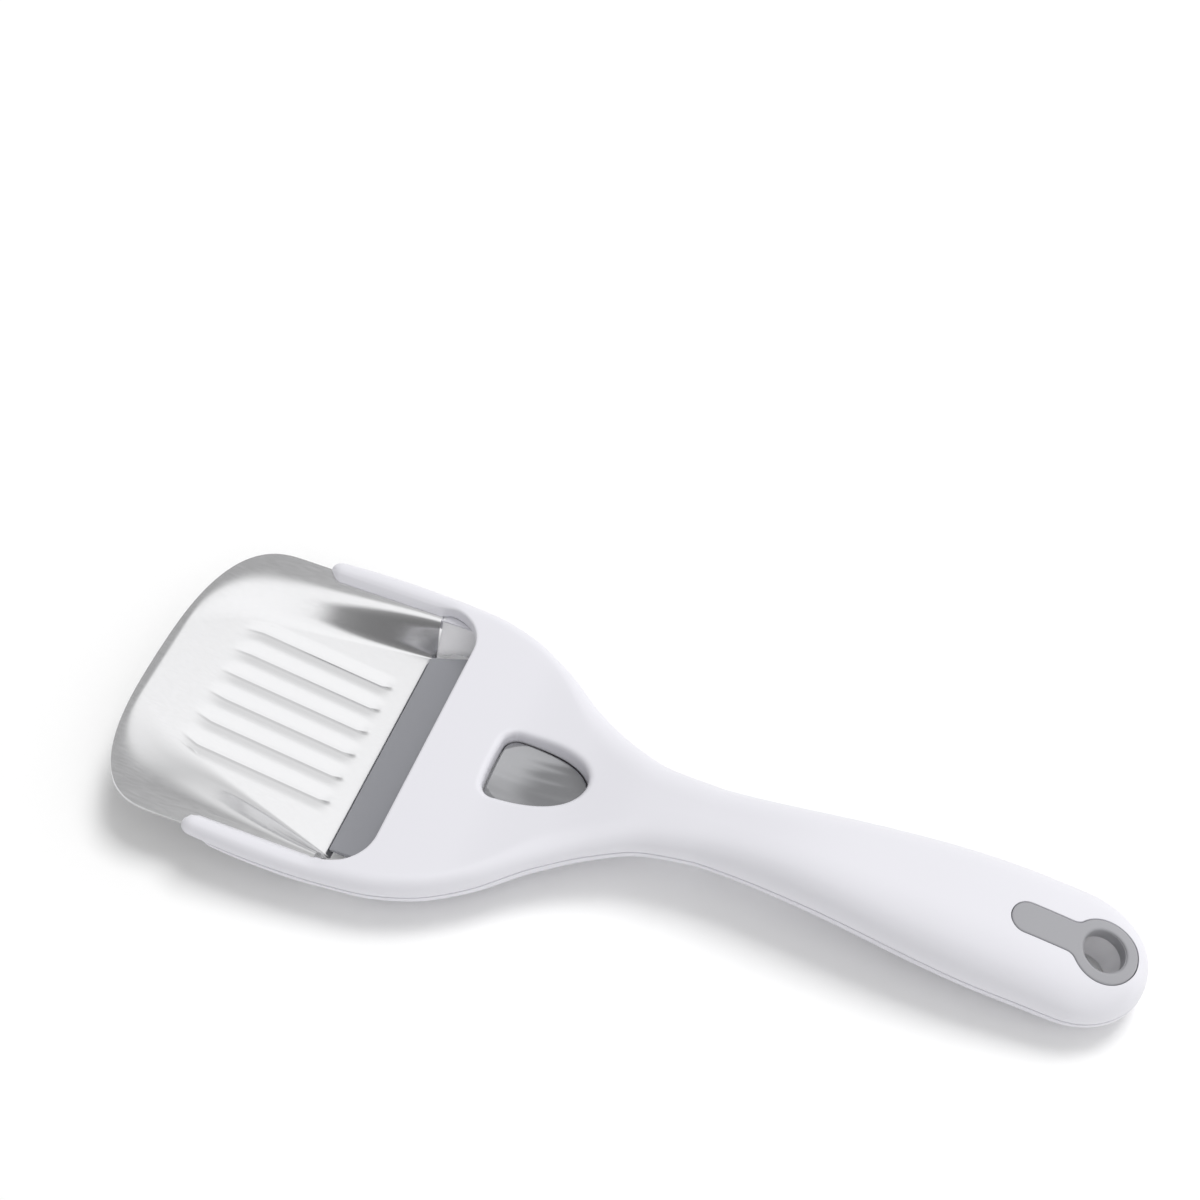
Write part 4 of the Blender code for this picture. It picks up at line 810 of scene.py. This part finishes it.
rear_top = NOSE_TOP + (GATE_REAR_X - GATE_NOSE_X) * tan(GATE_SLOPE)
profile = rounded_polygon([(GATE_NOSE_X, NOSE_FOOT), (HEEL_X, HEEL_FOOT), (HEEL_X, REAR_FOOT),
                           (GATE_REAR_X, REAR_FOOT), (GATE_REAR_X, rear_top), (GATE_NOSE_X, NOSE_TOP)],
                          (0.00028, 0.0001, 0.0001, 0.0001, 0.0002, 0.00032), 6)
spread = (profile[:, 0] - GATE_NOSE_X) / (GATE_REAR_X - GATE_NOSE_X)
to_centre = profile.mean(axis=0) - profile
to_centre /= np.linalg.norm(to_centre, axis=1)[:, None]
edge_turn = np.linspace(0, pi / 2, 6)
gate_rings = []
for y in np.concatenate([-1 - edge_turn[::-1], np.linspace(-1, 1, 40)[1:-1], 1 + edge_turn]):
    past = max(abs(y) - 1, 0)
    half = GATE_HALF + GATE_SPREAD * spread - GATE_END_ROUND * (1 - sin(past))
    flat = profile + to_centre * GATE_END_ROUND * (1 - cos(past))
    gate_rings.append(np.column_stack([flat[:, 0], np.clip(y, -1, 1) * half, flat[:, 1]]))
gate = swept_ring("thickness_gate_fine", gate_rings)
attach(gate, "lever")
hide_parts("thickness_gate")
gate_grey = plastic("gate_plastic", (0.292, 0.296, 0.318), 0.629, 0.012, 2600.0, 0.0000040, specular=0.3)
finish_piece(gate, gate_grey)


# Thumb pad: a polished grey button of moulded plastic with the window's outline, pressed onto the
# lever's rear arm.  Its top is dished for the thumb, and shallow waves draw out what it mirrors.
PAD_GAP, PAD_ROUND, PAD_EDGE_Z, PAD_FOOT_Z = 0.00032, 0.00045, 0.0105, 0.0086
DISH_X, DISH_REACH, DISH_HALF = WINDOW_X + WINDOW_LENGTH * 0.47, WINDOW_LENGTH * 0.95, WINDOW_HALF * 1.75
DISH_LIFT, DISH_DEPTH, DISH_SOFT = 0.0048, 0.0060, 0.00012


def pad_height(points, to_edge):
    """A quarter circle's edge, then an ellipsoid's dish, level towards the front corners.  Where the
    dish is shallow it sinks by DISH_SOFT times the logarithm of one plus the exponential of its
    height over DISH_SOFT instead."""
    u, v = (points[:, 0] - DISH_X) / DISH_REACH, points[:, 1] / DISH_HALF
    dish = DISH_LIFT - DISH_DEPTH * np.sqrt(np.clip(1 - u ** 2 - v ** 2, 0, 1))
    drop = np.minimum(dish, 0.0)
    smooth = -DISH_SOFT * np.log(np.exp(drop / DISH_SOFT) + 1.0)
    return PAD_EDGE_Z + np.minimum(drop, smooth) - rounding(-to_edge, PAD_ROUND)


def with_rings(rings, grid):
    """Closed rings and grid points in one array, and the edges that run round each ring."""
    starts = np.cumsum([0] + [len(ring) for ring in rings[:-1]])
    places = [np.arange(len(ring)) + start for ring, start in zip(rings, starts)]
    edges = [np.stack([place, np.roll(place, -1)], axis=1) for place in places]
    return np.concatenate(rings + [grid]), np.concatenate(edges)


pad_outline = moved_out(window_loop(44), -PAD_GAP)
grid = plan_grid(np.arange(WINDOW_X - WINDOW_BOW, WINDOW_X + WINDOW_LENGTH, 0.00035),
                 np.arange(-WINDOW_HALF, WINDOW_HALF, 0.00035))
flat, edges = with_rings([moved_out(pad_outline, -out) for out in rounding_rows(PAD_ROUND, 7)],
                         grid[distance_to(grid, pad_outline) < -2 * PAD_ROUND])
flat, pad_faces = plan_triangles(flat, edges, lambda middle: distance_to(middle, pad_outline) < 0,
                                 1e-8, 1e-15)
to_edge = distance_to(flat, pad_outline)
to_edge[np.abs(to_edge) < 1e-7] = 0.0
top = np.column_stack([flat, pad_height(flat, to_edge)])
foot = np.column_stack([flat, np.full(len(flat), PAD_FOOT_Z)])
pad = closed_shell("thumb_pad_fine", [top, foot], pad_faces)
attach(pad, "lever")
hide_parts("thumb_pad")


def waved(material, stretch, scale, height):
    """Turns a plastic finish more metallic and adds long shallow waves, which draw what it mirrors
    out into streaks: stretched noise drives a second bump."""
    tree, shader = material.node_tree, material.node_tree.nodes["Principled BSDF"]
    bump = new_node(tree, "Bump", Distance=height, Height=stretched_noise(tree, stretch, scale, 1.0),
                    Normal=shader.inputs["Normal"].links[0].from_socket)
    fill(tree, shader, Metallic=0.65, Normal=bump.outputs["Normal"])


pad_grey = plastic("pad_plastic", (0.320, 0.323, 0.336), 0.113, 0.010, 1200.0, 0.0000004, coat=1.0)
waved(pad_grey, (0.5, 3.5, 0.5), 75.0, 0.00048)
finish_piece(pad, pad_grey)


# Hanging eyelet: a matte grey insert, moulded on its own and pressed into the handle's curved top.
# A flush ring with a tail shows, and its tube and a white sleeve below it line the hole.
EYELET_BORE, BORE_ROUND, EYELET_EDGE, EYELET_PROUD, EYELET_THICK = 0.0049, 0.0007, 0.0003, 0.00004, 0.0013
TUBE_OUTER, TUBE_END, SLEEVE_INNER, SLEEVE_START = 0.0064, 0.0038, 0.0055, 0.0040

plate_loop = eyelet_loop()
bore_loop = arc(0, 0, EYELET_BORE, 0, 2 * pi, 73)[:-1] * (cos(EYELET_TILT), 1) + (EYELET_X, 0)
grid = plan_grid(np.arange(EYELET_X - 0.022, EYELET_X + 0.009, 0.0006), np.arange(-0.009, 0.009, 0.0006))
grid = grid[(distance_to(grid, plate_loop) < -0.0008) & (distance_to(grid, bore_loop) > 0.0011)]
rings = [moved_out(plate_loop, -out) for out in (0.0, 0.00006, 0.00018, EYELET_EDGE, 2 * EYELET_EDGE)]
rings += [moved_out(bore_loop, out) for out in rounding_rows(BORE_ROUND, 6)]
flat, eyelet_faces = plan_triangles(
    *with_rings(rings, grid),
    lambda middle: (distance_to(middle, plate_loop) < 0) & (distance_to(middle, bore_loop) > 0), 1e-8, 1e-15)
to_rim, to_bore = distance_to(flat, plate_loop), distance_to(flat, bore_loop)
height = skin_z(flat[:, 0], flat[:, 1], 1) + EYELET_PROUD
height -= rounding(-to_rim, EYELET_EDGE) + rounding(to_bore, BORE_ROUND)
eyelet = closed_shell("hang_eyelet_plate", [np.column_stack([flat, height]),
                                            np.column_stack([flat, height - EYELET_THICK])], eyelet_faces)
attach(eyelet, "body")
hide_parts("hang_eyelet")
eyelet_grey = plastic("eyelet_plastic", (0.375, 0.375, 0.395), 0.500, 0.012, 2600.0, 0.0000030, specular=0.4)
finish_piece(eyelet, eyelet_grey)


def lined_hole(name, profile, material):
    """A tube about the eyelet's own axis, which leans with the handle's top, from a closed profile of
    (depth, radius) points: each point runs round a circle square to that axis."""
    place = Matrix.Translation((EYELET_X, 0, float(crown_z(EYELET_X)))) @ Matrix.Rotation(EYELET_TILT, 4, "Y")
    turn = np.linspace(0, 2 * pi, 73)[:-1]
    rings = [[place @ Vector((radius * cos(a), radius * sin(a), -depth)) for a in turn]
             for depth, radius in profile]
    piece = swept_ring(name, rings, closed=True)
    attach(piece, "body")
    finish_piece(piece, material)


tube_start = 2 * EYELET_EDGE
sleeve_end = (float(crown_z(EYELET_X)) - 0.0018) / cos(EYELET_TILT)
lined_hole("hang_eyelet_tube", (
    (tube_start, TUBE_OUTER), (TUBE_END - 0.0002, TUBE_OUTER), (TUBE_END, TUBE_OUTER - 0.0002),
    (TUBE_END, EYELET_BORE + 0.0002), (TUBE_END - 0.0002, EYELET_BORE + 0.00005),
    (TUBE_END - 0.0006, EYELET_BORE), (tube_start, EYELET_BORE)), eyelet_grey)
# The sleeve takes the lighter-painted white: painted light inside the hanging hole.
lined_hole("hang_sleeve", (
    (SLEEVE_START, TUBE_OUTER), (sleeve_end - 0.0003, TUBE_OUTER), (sleeve_end, TUBE_OUTER - 0.0003),
    (sleeve_end, SLEEVE_INNER + 0.0003), (sleeve_end - 0.0003, SLEEVE_INNER), (SLEEVE_START, SLEEVE_INNER)),
    white_painted_lighter)


# Shell screws: four self-tapping steel screws, driven up from the underside into the upper shell.
# Their pan heads sit in sunk seats and have a cross recess, and a coarse thread runs up the shaft.
HEAD_SUNK, HEAD_FLAT, HEAD_HALF_WIDTH, HEAD_THICK = 0.0005, 0.0020, 0.0027, 0.0016
SHAFT, THREAD, THREAD_PITCH = 0.00104, 0.0013, 0.0011
SLOT_HALF, SLOT_DEPTH, SLOT_REACH = 0.00026, 0.0009, 0.0013


def screw_rings(x, y):
    """A lathe of the screw's profile.  Where the lesser of a point's distances to the two middle lines
    is under SLOT_HALF, the head is dented by the cross recess, which eases out towards the rim."""
    head = float(under_z(x)) + HEAD_SUNK
    neck, point = head + HEAD_THICK, float(crown_z(x)) - 0.0026
    turn = np.linspace(0, 2 * pi, 97)[:-1]
    rings = []
    for radius in np.concatenate([[0.00001], np.arange(1, 11) * 0.0002]):
        dome = 0.00012 * (radius / HEAD_FLAT) ** 2
        u, v = radius * np.cos(turn), radius * np.sin(turn)
        slot = np.minimum(np.abs(u), np.abs(v)) - SLOT_HALF
        deep = SLOT_DEPTH * (1 - ease((radius - SLOT_REACH) / 0.0002)) * ease(-slot / 0.00012 + 0.5)
        rings.append(np.column_stack([x + u, y + v, head + dome + deep]))
    shank = [(HEAD_HALF_WIDTH - 0.0003, head + 0.00022), (HEAD_HALF_WIDTH - 0.0001, head + 0.0004),
             (HEAD_HALF_WIDTH, head + 0.0007), (HEAD_HALF_WIDTH, neck), (THREAD, neck)]
    start = neck + 0.0008
    for k in range(int((point - 0.0012 - start) / (THREAD_PITCH / 4))):
        radius = (SHAFT, 0.0012, THREAD, SHAFT)[k % 4]
        shank.append((radius, start + k * THREAD_PITCH / 4))
    shank += [(0.0010, point - 0.0010), (0.0005, point)]
    for radius, z in shank:
        level = np.full(len(turn), z)
        rings.append(np.column_stack([x + radius * np.cos(turn), y + radius * np.sin(turn), level]))
    return rings


screw_steel = steel("screw_steel", (0.58, 0.58, 0.60), 0.30, (8.0, 8.0, 1.0), 600.0, 0.0000010)
for name, at in SCREWS.items():
    screw = swept_ring(name + "_fine", screw_rings(*at))
    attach(screw, "body")
    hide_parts(name)
    finish_piece(screw, screw_steel)


# Lever, pin and spring: the CAD model's own solids, hidden in the head.  The lever is plain white
# plastic, and the pin that it rocks on and the coil that brings it back are drawn stainless steel.
lever_white = plastic("lever_plastic", (0.740, 0.740, 0.760), 0.371, 0.012, 1800.0, 0.0000020)
pin_steel = steel("pin_steel", (0.62, 0.62, 0.64), 0.22, (12.0, 1.0, 12.0), 400.0, 0.0000010)
for name, material in (("lever_frame", lever_white), ("pivot_pin", pin_steel), ("return_spring", pin_steel)):
    painted(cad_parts[name], material)


# Floor and key light: a pale floor under one soft box high behind the tool, whose soft shadow falls
# towards the camera.  The light is left out of reflections, where the room stands for it.
KEY = Vector((0.15, 0.45, 0.88)).normalized()
KEY_DISTANCE, KEY_SIZE, KEY_POWER, FLOOR_SIZE = 3.0, 1.4, 49.0, 6.0

bpy.ops.mesh.primitive_plane_add(size=FLOOR_SIZE, location=(0, 0, 0))
floor = bpy.context.object
floor.name = "floor"
floor_material, floor_tree, floor_shader = nodes_of("floor_paint")
fill(floor_tree, floor_shader, Base_Color=(1.0, 1.0, 1.0, 1.0), Roughness=0.9, Specular_IOR_Level=0.0)
painted(floor, floor_material)
key_data = bpy.data.lights.new("key_light", "AREA")
key_data.shape, key_data.size, key_data.energy = "SQUARE", KEY_SIZE, KEY_POWER
key_light = placed("key_light", key_data)
key_light.location = KEY * KEY_DISTANCE
key_light.rotation_euler = KEY.to_track_quat("Z", "Y").to_euler()
key_light.visible_glossy = False


# Room: a white background for the camera, and for matt finishes a glow that is strongest from the
# handle's near side.  Polished pieces mirror a bright panel high behind the tool in a duller room.
ROOM_GLOW, CAMERA_WHITE, NEAR_SIDE = 1.90, 1.0, (0.84, -0.38, 0.40)

world = bpy.data.worlds.new("studio")
bpy.context.scene.world = world
world.use_nodes = True
tree = world.node_tree
rays = new_node(tree, "LightPath")
direction = new_node(tree, "TexCoord").outputs["Generated"]
split = new_node(tree, "SeparateXYZ", Vector=direction)


def by_height(stops):
    """A level for each height of the sky, from (height, level) stops."""
    ramp = new_node(tree, "ValToRGB", Fac=split.outputs["Z"])
    while len(ramp.color_ramp.elements) < len(stops):
        ramp.color_ramp.elements.new(0.5)
    for element, (at, value) in zip(ramp.color_ramp.elements, stops):
        element.position, element.color = at, (value, value, value, 1.0)
    return ramp.outputs["Color"]


def stepped(value, low, high, style="SMOOTHSTEP", at_low=0.0, at_high=1.0):
    """From at_low to at_high as the value goes from low to high."""
    step = new_node(tree, "MapRange", Value=value, From_Min=low, From_Max=high, To_Min=at_low, To_Max=at_high)
    step.interpolation_type = style
    return step.outputs["Result"]


def mixed(factor, first, second):
    """First where the factor is 0, second where it is 1."""
    return new_node(tree, "Mix", Factor=factor, A=first, B=second).outputs["Result"]


panel = by_height(((0.0, 0.95), (0.45, 0.80), (0.65, 0.92), (0.80, 1.12), (0.90, 1.30)))
beside_panel = by_height(((0.0, 1.0), (0.32, 1.0), (0.50, 0.75), (0.74, 0.44), (0.89, 0.47), (0.96, 1.25)))
before_tool = by_height(((0.0, 0.20), (0.50, 0.25), (0.78, 0.35), (0.92, 1.25)))
twice_behind = by_height(((0.0, 1.25), (0.60, 1.25), (0.76, 0.12), (0.86, 0.12), (0.95, 0.90)))
twice_before = by_height(((0.0, 0.20), (0.35, 0.25), (0.60, 0.95)))
is_behind = stepped(split.outputs["Y"], -0.25, 0.25)
behind_tool = mixed(stepped(split.outputs["X"], -0.24, -0.10), beside_panel, panel)
room = mixed(is_behind, before_tool, behind_tool)
seen_twice = mixed(is_behind, twice_before, twice_behind)
# What the tray mirrors twice, off two of its own walls, has levels of its own.
room = mixed(stepped(rays.outputs["Glossy Depth"], 1.0, 2.0), room, seen_twice)
room = mixed(rays.outputs["Diffuse Depth"], room, ROOM_GLOW)
facing = new_node(tree, "VectorMath", Vector=direction)
facing.operation = "DOT_PRODUCT"
facing.inputs[1].default_value = NEAR_SIDE
soft = stepped(facing.outputs["Value"], -0.7, 1.0, "LINEAR", 0.18, 0.89)
lit = mixed(rays.outputs["Is Glossy Ray"], soft, room)
fill(tree, tree.nodes["Background"], Color=(1.0, 1.0, 1.0, 1.0),
     Strength=mixed(rays.outputs["Is Camera Ray"], lit, CAMERA_WHITE))
